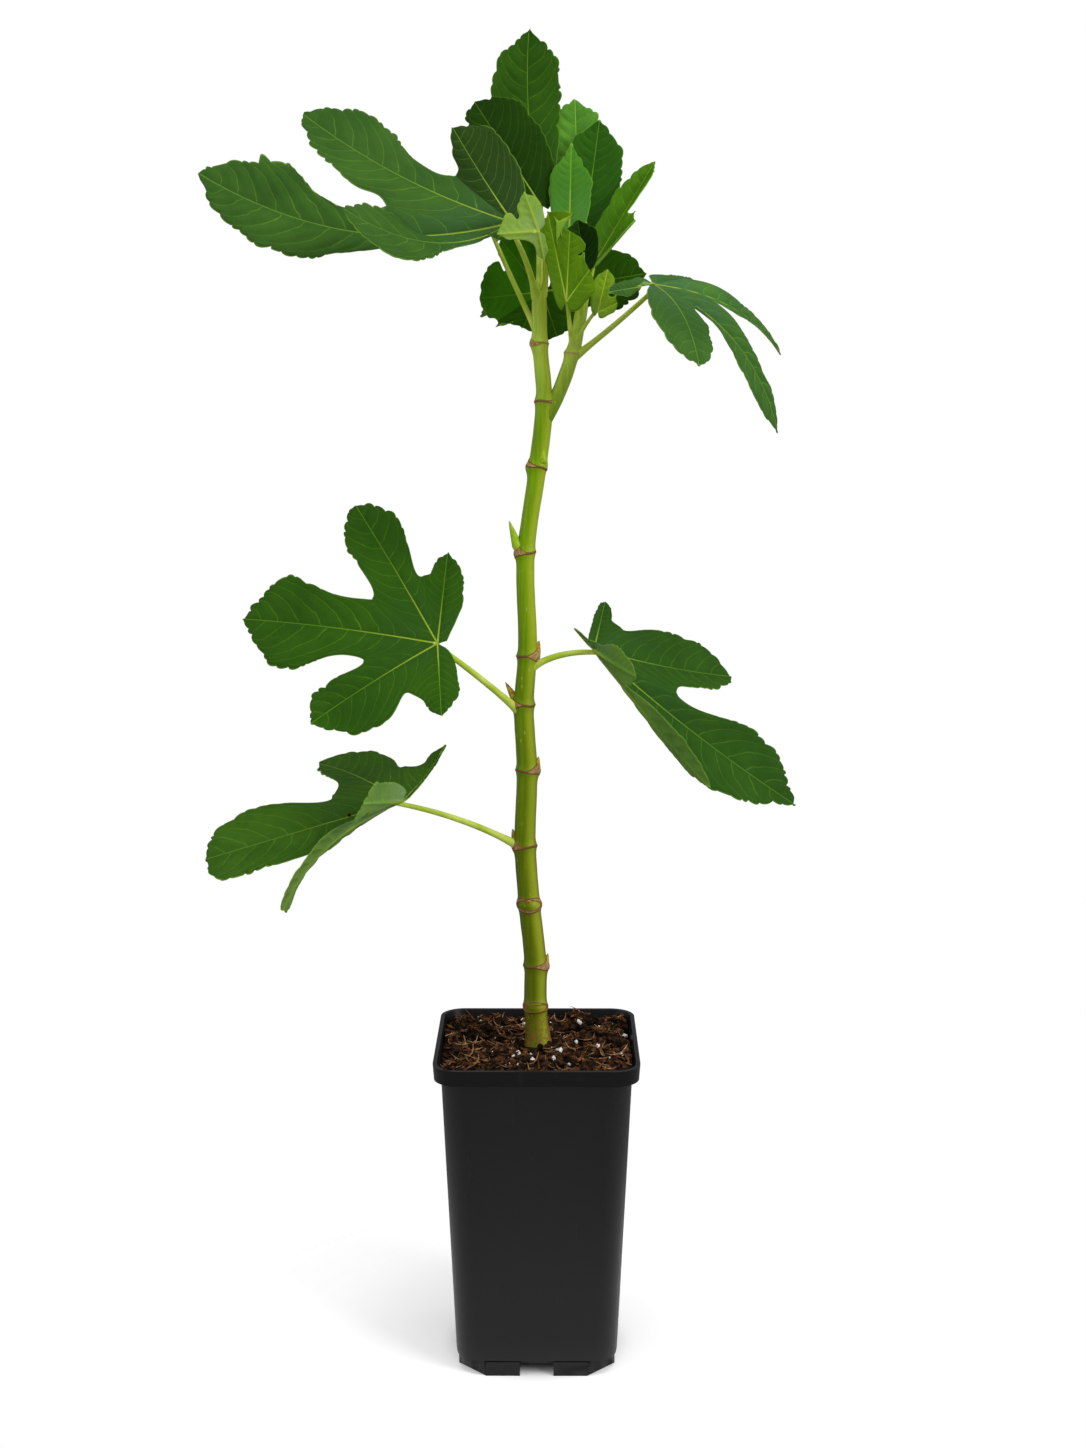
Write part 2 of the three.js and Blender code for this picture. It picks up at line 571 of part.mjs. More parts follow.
// Half a lobe's outline: one curve from the gap to the widest place, and one on to the tip.
function halfOutline(leaf, lobes, i, side) {
  const lobe = lobes[i];
  const start = sinus(leaf, lobes, i, side);
  const outer = (side < 0 && i === 0) || (side > 0 && i === lobes.length - 1);
  const across = flat(-lobe.axis.y, lobe.axis.x).multiplyScalar(side);
  const half = lobe.wide / 2 * (1 + side * lobe.lean);
  const fair = lobe.widest + side * lobe.skew;
  const widest = outer ? fair : Math.max(fair, (start.dot(lobe.axis) + 4) / lobe.long);
  const shoulder = lobe.axis.clone().multiplyScalar(lobe.long * widest).addScaledVector(across, half);
  const tip = lobe.axis.clone().multiplyScalar(lobe.long);
  const leave = outer
    ? across.clone().multiplyScalar(0.8).addScaledVector(lobe.axis, lobe.lead).normalize()
    : flat(start.y, -start.x).multiplyScalar(side / start.length());
  const wanted = outer ? half * 0.6 : (leaf.sinusRound ?? LEAF.sinusRound);
  const round = Math.min(wanted, 0.5 * shoulder.distanceTo(start));
  const run = shoulder.clone().sub(start).dot(lobe.axis);
  const left = lobe.long * (1 - widest);
  return [
    new THREE.CubicBezierCurve(
      start,
      start.clone().addScaledVector(leave, round).addScaledVector(lobe.axis, run * lobe.neck),
      shoulder.clone().addScaledVector(lobe.axis, -Math.max(run * (1 - lobe.neck) / 2, 2)),
      shoulder),
    new THREE.CubicBezierCurve(
      shoulder,
      shoulder.clone().addScaledVector(lobe.axis, 0.55 * left),
      tip.clone().addScaledVector(across, half * lobe.blunt)
        .addScaledVector(lobe.axis, -0.35 * left * (1 - lobe.blunt)),
      tip),
  ];
}

// Near the joint a point bends partly with the neighbouring lobe, half and half on the line from
// the joint to the gap, so that the lobes share one smooth sheet there.
function place(leaf, lobes, i, point) {
  const own = bendWith(leaf, lobes[i], point);
  const placed = own.clone();
  for (const side of [1, -1]) {
    const next = lobes[i + side];
    if (!next) continue;
    const gap = sinus(leaf, lobes, i, side);
    const off = side * wrap(Math.atan2(point.y, point.x) - lobes[i].angle);
    const reach = side * wrap(Math.atan2(gap.y, gap.x) - lobes[i].angle);
    const share = smooth(THREE.MathUtils.clamp(off / reach / 2, 0, 0.5));
    const fade = 1 - smooth((point.length() - gap.length()) / (0.8 * gap.length()));
    placed.addScaledVector(bendWith(leaf, next, point).sub(own), share * fade);
  }
  return placed;
}

// One lobe's sheet: a plane whose rows go from the joint to the tip, and whose columns go from
// one edge over the midrib to the other.
function lobeSheet(leaf, lobes, i) {
  const edges = { [-1]: halfOutline(leaf, lobes, i, -1), 1: halfOutline(leaf, lobes, i, 1) };
  const { innerRows, curveSteps } = LEAF;
  const outerRows = 2 * curveSteps;
  const rows = innerRows + outerRows;
  const lobe = lobes[i];
  const columns = lobe.wide > LEAF.wideLobe ? 2 : 1;
  const gaps = [-1, 1].map((side) =>
    lobes[i + side] ? sinus(leaf, lobes, i, side).length() : lobe.long / 4,
  );
  const web = Math.min(0.4 * (gaps[0] + gaps[1]), 0.45 * lobe.long);
  const sheet = new THREE.PlaneGeometry(2, 1, 2 * columns, rows);
  const { position, uv } = sheet.attributes;
  for (let k = 0; k < position.count; k++) {
    const row = Math.round(uv.getY(k) * rows);
    const u = position.getX(k);
    const side = u < 0 ? -1 : 1;
    let edge;
    let middle;
    if (row < innerRows) {
      edge = sinus(leaf, lobes, i, side).multiplyScalar(row / innerRows);
      middle = lobe.axis.clone().multiplyScalar(web * row / innerRows);
    } else {
      const step = row - innerRows;
      const [inner, outer] = edges[side];
      edge = step < curveSteps ? inner.getPoint(step / curveSteps) : outer.getPoint(step / curveSteps - 1);
      middle = lobe.axis.clone().multiplyScalar(web + (lobe.long - web) * step / outerRows);
    }
    const point = place(leaf, lobes, i, middle.lerp(edge, Math.abs(u)));
    position.setXYZ(k, point.x, point.y, point.z);
  }
  return sheet;
}

// A sheet given thickness: its two faces lie half the thickness to each side, with a rim between.
function thicken(sheet, thickness) {
  const thin = welded(sheet);
  thin.computeVertexNormals();
  const { position, normal } = thin.attributes;
  const count = position.count;
  const points = [];
  for (const side of [0.5, -0.5]) {
    for (let i = 0; i < count; i++) {
      const point = new THREE.Vector3().fromBufferAttribute(position, i);
      point.addScaledVector(new THREE.Vector3().fromBufferAttribute(normal, i), side * thickness);
      points.push(point);
    }
  }
  const faces = [];
  const rim = new Map();
  const index = thin.index.array;
  for (let i = 0; i < index.length; i += 3) {
    const [a, b, c] = [index[i], index[i + 1], index[i + 2]];
    faces.push(a, b, c, count + a, count + c, count + b);
    for (const [from, to] of [[a, b], [b, c], [c, a]]) {
      if (rim.has(`${to},${from}`)) rim.delete(`${to},${from}`);
      else rim.set(`${from},${to}`, [from, to]);
    }
  }
  for (const [from, to] of rim.values()) {
    faces.push(from, count + from, count + to, from, count + to, to);
  }
  const shell = new THREE.BufferGeometry().setFromPoints(points);
  shell.setIndex(faces);
  return shell;
}

const carriers = {
  trunk: { line: trunkLine, radius: trunkRadius },
  side_shoot: { line: shootLine, radius: shootRadius },
};

function makePetiole(leaf, lobes) {
  const { on, z, rise, radius, shift = [0, 0] } = leaf.petiole;
  const start = centreAt(carriers[on].line, z).add(vec(...shift, 0));
  const joint = vec(...leaf.joint);
  const chord = joint.clone().sub(start);
  const turn = leaf.petiole.turn ?? THREE.MathUtils.radToDeg(Math.atan2(chord.y, chord.x));
  const lift = direction(turn, rise);
  const main = lobes.find((lobe) => lobe.at === 0) ?? lobes.at(-1);
  const vein = main.along.clone().multiplyScalar(main.long)
    .addScaledVector(main.up, 4 * main.bow).addScaledVector(main.side, 4 * main.sweep).normalize();
  const end = joint.clone().addScaledVector(vein, LEAF.petioleReach);
  const path = new THREE.QuadraticBezierCurve3(
    start, start.clone().addScaledVector(lift, chord.length() / 2), end);
  return limb(path, LEAF.petioleSteps, LEAF.petioleSides,
    (t) => radius * THREE.MathUtils.lerp(1, LEAF.petioleEnd, t));
}

function makeLeaf(leaf) {
  const lobes = readyLobes(leaf);
  const sheet = mergeGeometries(lobes.map((lobe, i) => lobeSheet(leaf, lobes, i)));
  const longest = Math.max(...lobes.map((lobe) => lobe.long));
  const thickness = Math.max(LEAF.thinnest, LEAF.thicknessRatio * longest);
  return solid(thicken(sheet, thickness)).add(makePetiole(leaf, lobes));
}

// ---- Assembly ----
const trunkClear = makeTrunk(GAP);
const shootClear = makeShoot(GAP);
add('pot', makePot(), 0x161718, 0.55);
add('soil', makeSoil(), 0x2b1c13, 0.95);
add('trunk', BUDS.reduce((trunk, bud) => trunk.add(makeBud(bud)), makeTrunk(0)), 0x6f8c34);
add('side_shoot', makeShoot(0).subtract(trunkClear), 0x7fa038);
for (const leaf of LEAVES) {
  add(leaf.name, makeLeaf(leaf).subtract(trunkClear).subtract(shootClear), leaf.color, 0.5);
}

export default tree;
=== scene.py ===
import random
from math import atan2, ceil, copysign, cos, degrees, exp, pi, radians, sin, tau

import bmesh
import bpy
import numpy as np
from mathutils import Matrix, Vector, noise


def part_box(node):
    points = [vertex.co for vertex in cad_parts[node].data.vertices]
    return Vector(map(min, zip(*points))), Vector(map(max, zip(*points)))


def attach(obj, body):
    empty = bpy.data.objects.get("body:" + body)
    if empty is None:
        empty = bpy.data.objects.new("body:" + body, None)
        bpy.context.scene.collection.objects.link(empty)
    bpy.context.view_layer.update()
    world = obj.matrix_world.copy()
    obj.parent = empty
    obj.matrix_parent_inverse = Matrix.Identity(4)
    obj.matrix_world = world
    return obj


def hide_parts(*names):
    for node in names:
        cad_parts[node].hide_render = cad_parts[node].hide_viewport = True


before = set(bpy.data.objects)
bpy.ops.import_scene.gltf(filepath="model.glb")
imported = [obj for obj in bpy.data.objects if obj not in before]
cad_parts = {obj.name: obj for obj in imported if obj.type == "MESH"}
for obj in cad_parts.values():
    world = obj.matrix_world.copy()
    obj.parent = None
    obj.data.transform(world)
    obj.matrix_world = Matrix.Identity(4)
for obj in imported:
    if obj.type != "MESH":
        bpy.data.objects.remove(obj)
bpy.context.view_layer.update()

# ---- Pot ----
# A square nursery pot of thin black polypropylene, injection moulded in one piece: four tapering
# walls with round corners, a stepped rim, and a foot ring with a drainage channel in each side.
# Every shape in this file is drawn in millimetres and scaled to metres when its piece is finished.
MM = 0.001
POT_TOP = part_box("pot")[1]
POT_HEIGHT = POT_TOP.z / MM
POT_RIM = POT_TOP.x / MM
POT_RIM_FOOT = POT_HEIGHT - 10
POT_RIM_WALL = 2.6
POT_RIM_DRAFT = 0.7
POT_MOUTH = 60
POT_FOOT = 51.5
POT_RING = 49.75
POT_RING_TOP = 10.7
POT_FLOOR = 13
POT_WALL = 2
POT_CORNER = 16
POT_INSIDE_CORNER = POT_CORNER - POT_WALL
POT_RING_CORNER = 14
POT_EDGE_ROUND = 0.7
CHANNEL = Vector((21.5, 28, 8.4))
CUTTER_SPARE = 2
FOOT_BLOCK = Vector((22, 5.4, 9.4))
FOOT_BLOCK_PROUD = 0.7
FOOT_WEDGE = Vector((24, 48, 10))
FOOT_CUT = 58.5
FOOT_CUT_SLOPE = -40


class Wire:
    """An output socket of a material. Arithmetic on it adds the Math nodes that it needs, and its
    methods add the nodes that read it."""

    def __init__(self, finish, socket):
        self.finish = finish
        self.socket = socket

    def __add__(self, value):
        return self.finish.maths("ADD", self, value)

    def __radd__(self, value):
        return self.finish.maths("ADD", value, self)

    def __sub__(self, value):
        return self.finish.maths("SUBTRACT", self, value)

    def __rsub__(self, value):
        return self.finish.maths("SUBTRACT", value, self)

    def __mul__(self, value):
        return self.finish.maths("MULTIPLY", self, value)

    def __truediv__(self, value):
        return self.finish.maths("DIVIDE", self, value)

    def __abs__(self):
        return self.finish.maths("ABSOLUTE", self)

    def ease(self, low, high):
        """0 below low, 1 above high, and a smooth step between."""
        sockets = {"Value": self, "From Min": low, "From Max": high}
        return self.finish.node("MapRange", {"interpolation_type": "SMOOTHSTEP"}, sockets)

    def part(self, axis):
        """One coordinate of a place."""
        return self.finish.node("SeparateXYZ", {}, {0: self}, axis)

    def tall(self, upward):
        """A place whose pattern is drawn out along Z where upward is under 1."""
        return self.finish.node("Mapping", {}, {"Vector": self, "Scale": (1, 1, upward)})

    def noise(self, scale, detail=2.0, rough=0.5, output=0):
        sockets = {"Vector": self, "Scale": scale, "Detail": detail, "Roughness": rough}
        return self.finish.node("TexNoise", {}, sockets, output)


class Finish:
    """A material in the making. Every node that it holds comes from its node method."""

    def __init__(self, name, kind="materials"):
        self.material = getattr(bpy.data, kind).new(name)
        self.material.use_nodes = True
        self.tree = self.material.node_tree
        self.tree.nodes.clear()

    def node(self, kind, settings=None, sockets=None, output=0):
        """Adds a node: first its settings, then the values or links of its sockets."""
        made = self.tree.nodes.new("ShaderNode" + kind)
        for name, value in (settings or {}).items():
            setattr(made, name, value)
        for name, value in (sockets or {}).items():
            if isinstance(value, Wire):
                self.tree.links.new(value.socket, made.inputs[name])
            else:
                made.inputs[name].default_value = value
        return Wire(self, made.outputs[output]) if made.outputs else None

    def maths(self, operation, *values):
        return self.node("Math", {"operation": operation}, dict(enumerate(values)))

    def vector(self, operation, sockets, output=0):
        return self.node("VectorMath", {"operation": operation}, sockets, output)

    def mix(self, share, first, second, blend="MIX"):
        """Two colours mixed by share. Sockets 6 and 7 are the Mix node's colours."""
        settings = {"data_type": "RGBA", "blend_type": blend}
        return self.node("Mix", settings, {0: share, 6: first, 7: second}, output=2)

    def coat(self, share, colour, blend="MIX"):
        """Lays a colour over the finish's own."""
        self.colour = self.mix(share, self.colour, colour, blend)

    def place(self):
        return self.node("TexCoord", output="Object")

    def mark(self, name):
        return self.node("Attribute", {"attribute_name": name}, output="Fac")

    def surface(self, rough, gloss, relief, strength, depth):
        """Closes the material with one Principled surface and one Bump node."""
        bump = self.node("Bump", {}, {"Height": relief, "Strength": strength, "Distance": depth})
        shader = self.node("BsdfPrincipled", {}, {
            "Base Color": self.colour, "Roughness": rough, "Specular IOR Level": gloss, "Normal": bump})
        self.node("OutputMaterial", {}, {"Surface": shader})
        return self.material


def paint(red, green, blue):
    """A colour as it is seen, 0 to 255, as the linear values that a shader takes."""
    shares = [value / 255 for value in (red, green, blue)]
    return tuple(c / 12.92 if c <= 0.04045 else ((c + 0.055) / 1.055) ** 2.4 for c in shares) + (1,)


def finished(name, bm, materials, smooth=35):
    """Makes a piece of what was modelled, in metres, with its edges sharper than smooth kept."""
    bmesh.ops.scale(bm, vec=(MM, MM, MM), verts=bm.verts)
    mesh = bpy.data.meshes.new(name)
    bm.to_mesh(mesh)
    bm.free()
    for material in materials:
        mesh.materials.append(material)
    mesh.shade_smooth()
    mesh.set_sharp_from_angle(angle=radians(smooth))
    piece = bpy.data.objects.new(name, mesh)
    bpy.context.scene.collection.objects.link(piece)
    return piece


def fitted(piece, kind, **settings):
    """Adds a modifier to a piece."""
    modifier = piece.modifiers.new(kind.lower(), kind)
    for name, value in settings.items():
        setattr(modifier, name, value)


def applied(piece):
    """Makes what a piece's modifiers show its own mesh."""
    shown = piece.evaluated_get(bpy.context.evaluated_depsgraph_get())
    mesh = bpy.data.meshes.new_from_object(shown)
    piece.modifiers.clear()
    piece.data = mesh


def set_ring(ring, half, z, corner):
    """Moves a ring of a rounded square to a new width, height and corner radius."""
    for vert in ring:
        x, y = (copysign(half - corner, side) for side in vert.co.xy)
        arc = vert[corner_arc]
        vert.co = (x + corner * cos(arc), y + corner * sin(arc), z)


def drawn_out(bm, edges):
    """Extrudes open edges, and gives the new edges and their corners."""
    made = bmesh.ops.extrude_edge_only(bm, edges=edges)["geom"]
    kinds = (bmesh.types.BMEdge, bmesh.types.BMVert)
    return [[part for part in made if isinstance(part, kind)] for kind in kinds]


def block(bm, size, centre):
    """Adds a box and gives its corners."""
    verts = bmesh.ops.create_cube(bm, size=1)["verts"]
    bmesh.ops.scale(bm, vec=size, verts=verts)
    bmesh.ops.translate(bm, vec=centre, verts=verts)
    return verts


def turn(bm, verts, angle, axis="Z"):
    bmesh.ops.rotate(bm, matrix=Matrix.Rotation(radians(angle), 3, axis), verts=verts)


pot = bmesh.new()
corner_arc = pot.verts.layers.float.new("corner_arc")
bmesh.ops.create_grid(pot, x_segments=1, y_segments=1, size=POT_RING)
bmesh.ops.bevel(
    pot, geom=pot.verts[:], offset=POT_RING_CORNER, affect="VERTICES", segments=10, profile=0.5, material=-1)
ring = pot.verts[:]
for vert in ring:
    middle = [copysign(POT_RING - POT_RING_CORNER, side) for side in vert.co.xy]
    vert[corner_arc] = atan2(vert.co.y - middle[1], vert.co.x - middle[0])
profile = [
    (POT_RING, 0, POT_RING_CORNER),
    (POT_RING, POT_RING_TOP, POT_RING_CORNER),
    (POT_FOOT, POT_RING_TOP, POT_CORNER),
    (POT_FOOT + 0.4, POT_RING_TOP + 3, POT_CORNER),
    (POT_MOUTH, POT_RIM_FOOT - 1.5, POT_CORNER),
    (POT_MOUTH + 0.8, POT_RIM_FOOT, POT_CORNER),
    (POT_RIM - POT_RIM_DRAFT, POT_RIM_FOOT, POT_CORNER),
    (POT_RIM, POT_HEIGHT, POT_CORNER),
    (POT_RIM - POT_RIM_WALL, POT_HEIGHT, POT_INSIDE_CORNER),
    (POT_MOUTH - POT_WALL + 0.5, POT_RIM_FOOT - 2, POT_INSIDE_CORNER),
    (POT_FOOT - POT_WALL, POT_FLOOR, POT_INSIDE_CORNER),
]
set_ring(ring, *profile[0])
edges = [edge for edge in pot.edges if edge.is_boundary]
for half, z, corner in profile[1:]:
    edges, ring = drawn_out(pot, edges)
    set_ring(ring, half, z, corner)
bmesh.ops.contextual_create(pot, geom=edges)
bmesh.ops.recalc_face_normals(pot, faces=pot.faces)

plastic = Finish("black_polypropylene")
spot = plastic.place()
cloud = spot.noise(14, 4, 0.6)
grain = spot.noise(2600)
scuff = spot.tall(0.12).noise(220, 3, 0.7).ease(0.62, 0.8)
low_dust = 1 - spot.part("Z").ease(0.004, 0.03)
plastic.colour = plastic.mix(cloud * 0.7, paint(9, 9, 10), paint(17, 17, 18))
plastic.coat(scuff * 0.07 + low_dust * cloud * 0.08, paint(104, 100, 94))
plastic.surface(0.34 + cloud * 0.12 + scuff * 0.12, 0.22, grain, 0.22, 0.0002)
pot_piece = finished("pot_shell", pot, [plastic.material])

channels, blocks = bmesh.new(), bmesh.new()
reach = CHANNEL.y + 2 * CUTTER_SPARE
for quarter in range(4):
    channel = block(
        channels, (CHANNEL.x, reach, CHANNEL.z + CUTTER_SPARE),
        (0, -POT_RING + CHANNEL.y - reach / 2, (CHANNEL.z - CUTTER_SPARE) / 2))
    wedge = block(channels, FOOT_WEDGE, (FOOT_WEDGE.x / 2, 0, -FOOT_WEDGE.z / 2))
    turn(channels, wedge, FOOT_CUT_SLOPE, "Y")
    bmesh.ops.translate(channels, vec=(FOOT_CUT, 0, 0), verts=wedge)
    turn(channels, wedge, 45)
    turn(channels, channel + wedge, quarter * 90)
    for side in (-1, 1):
        out = -POT_RING - FOOT_BLOCK_PROUD + FOOT_BLOCK.y / 2
        foot = block(blocks, FOOT_BLOCK, (side * (CHANNEL.x + FOOT_BLOCK.x) / 2, out, FOOT_BLOCK.z / 2))
        turn(blocks, foot, quarter * 90)
foot_blocks = finished("foot_blocks", blocks, [])
cutter = finished("channel_cutter", channels, [])
fitted(pot_piece, "BOOLEAN", object=foot_blocks, operation="UNION", solver="EXACT")
fitted(pot_piece, "BOOLEAN", object=cutter, operation="DIFFERENCE", solver="EXACT")
fitted(
    pot_piece, "BEVEL", width=POT_EDGE_ROUND * MM, segments=3, limit_method="ANGLE",
    angle_limit=radians(50))
applied(pot_piece)
for tool in (cutter, foot_blocks):
    bpy.data.objects.remove(tool)
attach(pot_piece, "root")
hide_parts("pot")

# ---- Soil ----
# Moist peat compost, filled by hand to 4 or 5 mm below the rim and firmed round the stem. Crumbs,
# strips of bark, root fibres and white perlite grains lie loose on top of it.
SOIL_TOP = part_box("soil")[1].z / MM
SOIL_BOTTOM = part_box("soil")[0].z / MM
SOIL_HALF = POT_MOUTH + 0.4
SOIL_WAIST = POT_MOUTH - POT_WALL
SOIL_HEAP = -0.2
MOUND = (2.6, 18)
CLODS = 5.4
STEM_FOOT = Vector((1, 0))
STEM_CLEAR = 9
luck = random.Random(17)


def soil_height(x, y):
    """The height of the compost at a place on it: clods, pits, and a low mound round the stem."""
    clods = noise.fractal(Vector((x * 0.055, y * 0.055, 3)), 0.8, 2.1, 4)
    mound = MOUND[0] * exp(-((Vector((x, y)) - STEM_FOOT).length / MOUND[1]) ** 2)
    return SOIL_TOP + SOIL_HEAP + mound + CLODS * clods


def in_pot(x, y):
    """A place of a square moved inside the pot's round corner where it lies beyond it."""
    inner = SOIL_HALF - POT_INSIDE_CORNER
    out = Vector((max(abs(x) - inner, 0), max(abs(y) - inner, 0)))
    if out.x and out.y and out.length > POT_INSIDE_CORNER:
        out *= POT_INSIDE_CORNER / out.length
        return copysign(inner + out.x, x), copysign(inner + out.y, y)
    return x, y


soil = bmesh.new()
bmesh.ops.create_grid(soil, x_segments=90, y_segments=90, size=SOIL_HALF)
rim_edges = [edge for edge in soil.edges if edge.is_boundary]
for vert in soil.verts:
    x, y = in_pot(vert.co.x, vert.co.y)
    vert.co = (x, y, soil_height(x, y))
for half, z in ((SOIL_WAIST, POT_RIM_FOOT - 2), (POT_FOOT - POT_WALL - 0.3, SOIL_BOTTOM)):
    rim_edges, ring = drawn_out(soil, rim_edges)
    taper = half / max(abs(vert.co.x) for vert in ring)
    for vert in ring:
        vert.co = (vert.co.x * taper, vert.co.y * taper, z)
bmesh.ops.contextual_create(soil, geom=rim_edges)
bmesh.ops.recalc_face_normals(soil, faces=soil.faces)


def compost_finish(name, dark, light, rough):
    """Earthy matter: two colours in clouds, a fine dull grain, and painted shade that darkens
    everything below the compost's top.
    """
    finish = Finish(name)
    spot = finish.place()
    cloud = spot.noise(190, 5, 0.7).ease(0.4, 0.7)
    patch = spot.noise(64, 3, 0.6).ease(0.4, 0.6)
    grain = spot.noise(900, 4, 0.7)
    painted_low_shade = 1 - spot.part("Z").ease((SOIL_TOP - 1.4) * MM, (SOIL_TOP + 1.6) * MM)
    finish.colour = finish.mix(cloud * grain * 1.6 * (patch * 0.7 + 0.3), dark, light)
    # Painted shade: darker towards and below the compost's top, where the hollows lie in shadow.
    finish.coat(painted_low_shade * 0.85, paint(9, 6, 4))
    return finish.surface(rough + grain * 0.1, 0.1, grain, 0.8, 0.0012)


def loose(name, count, material, shape, curl=0.0, fine=1):
    """Strews pieces over the compost: shape gives each one's three half sizes, its lift and tilt.
    A long piece is bent sideways and upwards, by curl at most at ten millimetres from its middle."""
    bm = bmesh.new()
    for _ in range(count):
        x, y = in_pot(*(luck.uniform(-1, 1) * (SOIL_HALF - 2) for _ in range(2)))
        sizes, lift, tilt = shape()
        if (Vector((x, y)) - STEM_FOOT).length < STEM_CLEAR + max(sizes):
            continue
        way = Matrix.Rotation(luck.uniform(0, tau), 4, "Z") @ Matrix.Rotation(tilt, 4, "Y")
        put = Matrix.Translation((x, y, soil_height(x, y) + lift)) @ way
        made = bmesh.ops.create_icosphere(bm, subdivisions=fine, radius=1)["verts"]
        bend = [luck.uniform(-curl, curl), luck.uniform(0, curl)]
        for vert in made:
            vert.co *= luck.uniform(0.75, 1.15)
            vert.co = Vector(vert.co[i] * sizes[i] for i in range(3))
            along = (vert.co.x / 10) ** 2
            vert.co.y += bend[0] * along
            vert.co.z += bend[1] * along
        bmesh.ops.transform(bm, matrix=put, verts=made)
    piece = finished(name, bm, [material], smooth=25)
    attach(piece, "root")


def crumb():
    size = 0.6 + 2.4 * luck.random() ** 2.2
    return (size * 1.2, size, size * 0.9), size * 0.35, luck.uniform(-0.6, 0.6)


def bark_strip():
    long = luck.uniform(1.8, 5.5)
    return (long, long * luck.uniform(0.14, 0.34), 0.6), 1.2, luck.uniform(-0.6, 0.6)


def fibre():
    return (luck.uniform(3, 9), 0.3, 0.3), 1.9, luck.uniform(-0.35, 0.35)


def perlite_grain():
    size = luck.choice((0.6, 0.8, 1.1, 1.7, 2.2))
    return (size * 1.2, size * 0.8, size * 0.75), size * 0.7, luck.uniform(-1, 1)


compost = compost_finish("peat_compost", paint(12, 8, 5), paint(92, 60, 38), 0.88)
soil_piece = finished("compost", soil, [compost], smooth=60)
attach(soil_piece, "root")
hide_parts("soil")
peat = compost_finish("peat_crumb", paint(18, 11, 7), paint(146, 98, 60), 0.9)
loose("peat_crumbs", 1500, peat, crumb)
bark = compost_finish("bark_strip", paint(64, 36, 20), paint(190, 130, 80), 0.8)
loose("bark_strips", 380, bark, bark_strip, 3)
root = compost_finish("root_fibre", paint(146, 104, 66), paint(220, 178, 128), 0.85)
loose("root_fibres", 130, root, fibre, 9, 2)
perlite = compost_finish("perlite", paint(248, 247, 243), paint(255, 255, 252), 0.8)
loose("perlite_grains", 85, perlite, perlite_grain)

# ---- Trunk ----
# The young tree's one stem: green wood that browns towards the foot, a raised ring of tan scar
# tissue at each node, two eye-shaped leaf scars, and buds that sit just above the rings.
TRUNK_FOOT = SOIL_TOP + 0.3
# Each node: height, sideways place, swelling, then its leaf's seat: heading, how far the seat opens
# above and below the ring, and how much lower the ring lies on the right.
TRUNK_NODES = [
    (231.5, -1, 1.06, -90, 1.2, 3, 0), (258, -1, 1.08, 0, 5.5, 2.5, 0),
    (299, -5, 1.1, -90, 4.4, 4.2, 0), (337, -7.5, 1.12, 175, 5.5, 4, 0),
    (386, -6.3, 1.12, 0, 5, 3, 0), (428, -8.2, 1.14, 175, 4.5, 4, 0.3),
    (459, -6, 1.14, 0, 6, 4, 0), (524, -6.8, 1.12, 185, 5, 3.5, 0),
    (577, 0.6, 1.14, 180, 2, 1.2, 1.8), (617, 4.6, 1.16, 20, 1.5, 1.5, 0),
    (652, 2, 1.12, 200, 2, 1.5, 0),
]
TRUNK_TIP = (684, 1.5)
TRUNK_SIDES = 72
FRONT = -90
SEAT_SPREAD = 1.5
EYE = (6.3, 3.3)
TRUNK_RADII = [
    (204, 9.4), (210, 8.2), (219, 7.4), (300, 7.0), (400, 6.45), (500, 5.7), (520, 5.6), (545, 5.3),
    (590, 5.6), (612, 5.4), (624, 4.9), (676, 4.6), (684, 4),
]
# Each bud: height, heading, length, radius, lean above level, and whether it is a brown scaly one.
BUDS = [
    (258, 0, 8, 2.9, 76, 1), (301, -90, 3.6, 2.2, 30, 1), (338, 172, 10, 3.5, 74, 1),
    (386, 0, 9, 3.5, 76, 1), (430, 162, 14, 3.2, 58, 1), (459, 8, 10, 4.2, 72, 1),
    (524, 190, 21, 4.0, 72, 0), (578, -50, 12, 3.2, 84, 0),
]


def step(t):
    t = np.clip(t, 0, 1)
    return t * t * (3 - 2 * t)


def smooth_through(places, values, at):
    """Values at some places of a smooth curve through known ones."""
    places = np.array(places, float)
    values = np.array(values, float)
    slopes = np.gradient(values, places)
    at = np.clip(at, places[0], places[-1])
    i = np.clip(np.searchsorted(places, at) - 1, 0, len(places) - 2)
    gap = places[i + 1] - places[i]
    t = (at - places[i]) / gap
    low = values[i] + t * t * (3 - 2 * t) * (values[i + 1] - values[i])
    return low + t * (1 - t) * gap * ((1 - t) * slopes[i] - t * slopes[i + 1])


def stem_side(z):
    heights = [TRUNK_FOOT] + [row[0] for row in TRUNK_NODES] + [TRUNK_TIP[0]]
    sides = [1] + [row[1] for row in TRUNK_NODES] + [TRUNK_TIP[1]]
    return smooth_through(heights, sides, z)


def stem_radius(z):
    return np.interp(z, [row[0] for row in TRUNK_RADII], [row[1] for row in TRUNK_RADII])


def stem_centre(z):
    return np.array([float(stem_side(z)), 0, z])


def laid_grid(bm, across, along, place):
    """Adds a grid and moves its corners to where place puts them, from each one's share of the way
    across and its row."""
    verts = bmesh.ops.create_grid(bm, x_segments=across, y_segments=along, size=1)["verts"]
    shares = (np.array([vert.co[:2] for vert in verts]) + 1) / 2
    for vert, spot in zip(verts, place(shares[:, 0], np.rint(shares[:, 1] * along).astype(int))):
        vert.co = spot
    return verts


def closed_round(bm, verts):
    """Joins a rolled grid along its seam and closes both its ends."""
    bmesh.ops.remove_doubles(bm, verts=verts, dist=0.001)
    open_edges = [edge for edge in bm.edges if edge.is_boundary]
    bmesh.ops.holes_fill(bm, edges=open_edges, sides=0)
    bmesh.ops.recalc_face_normals(bm, faces=bm.faces)


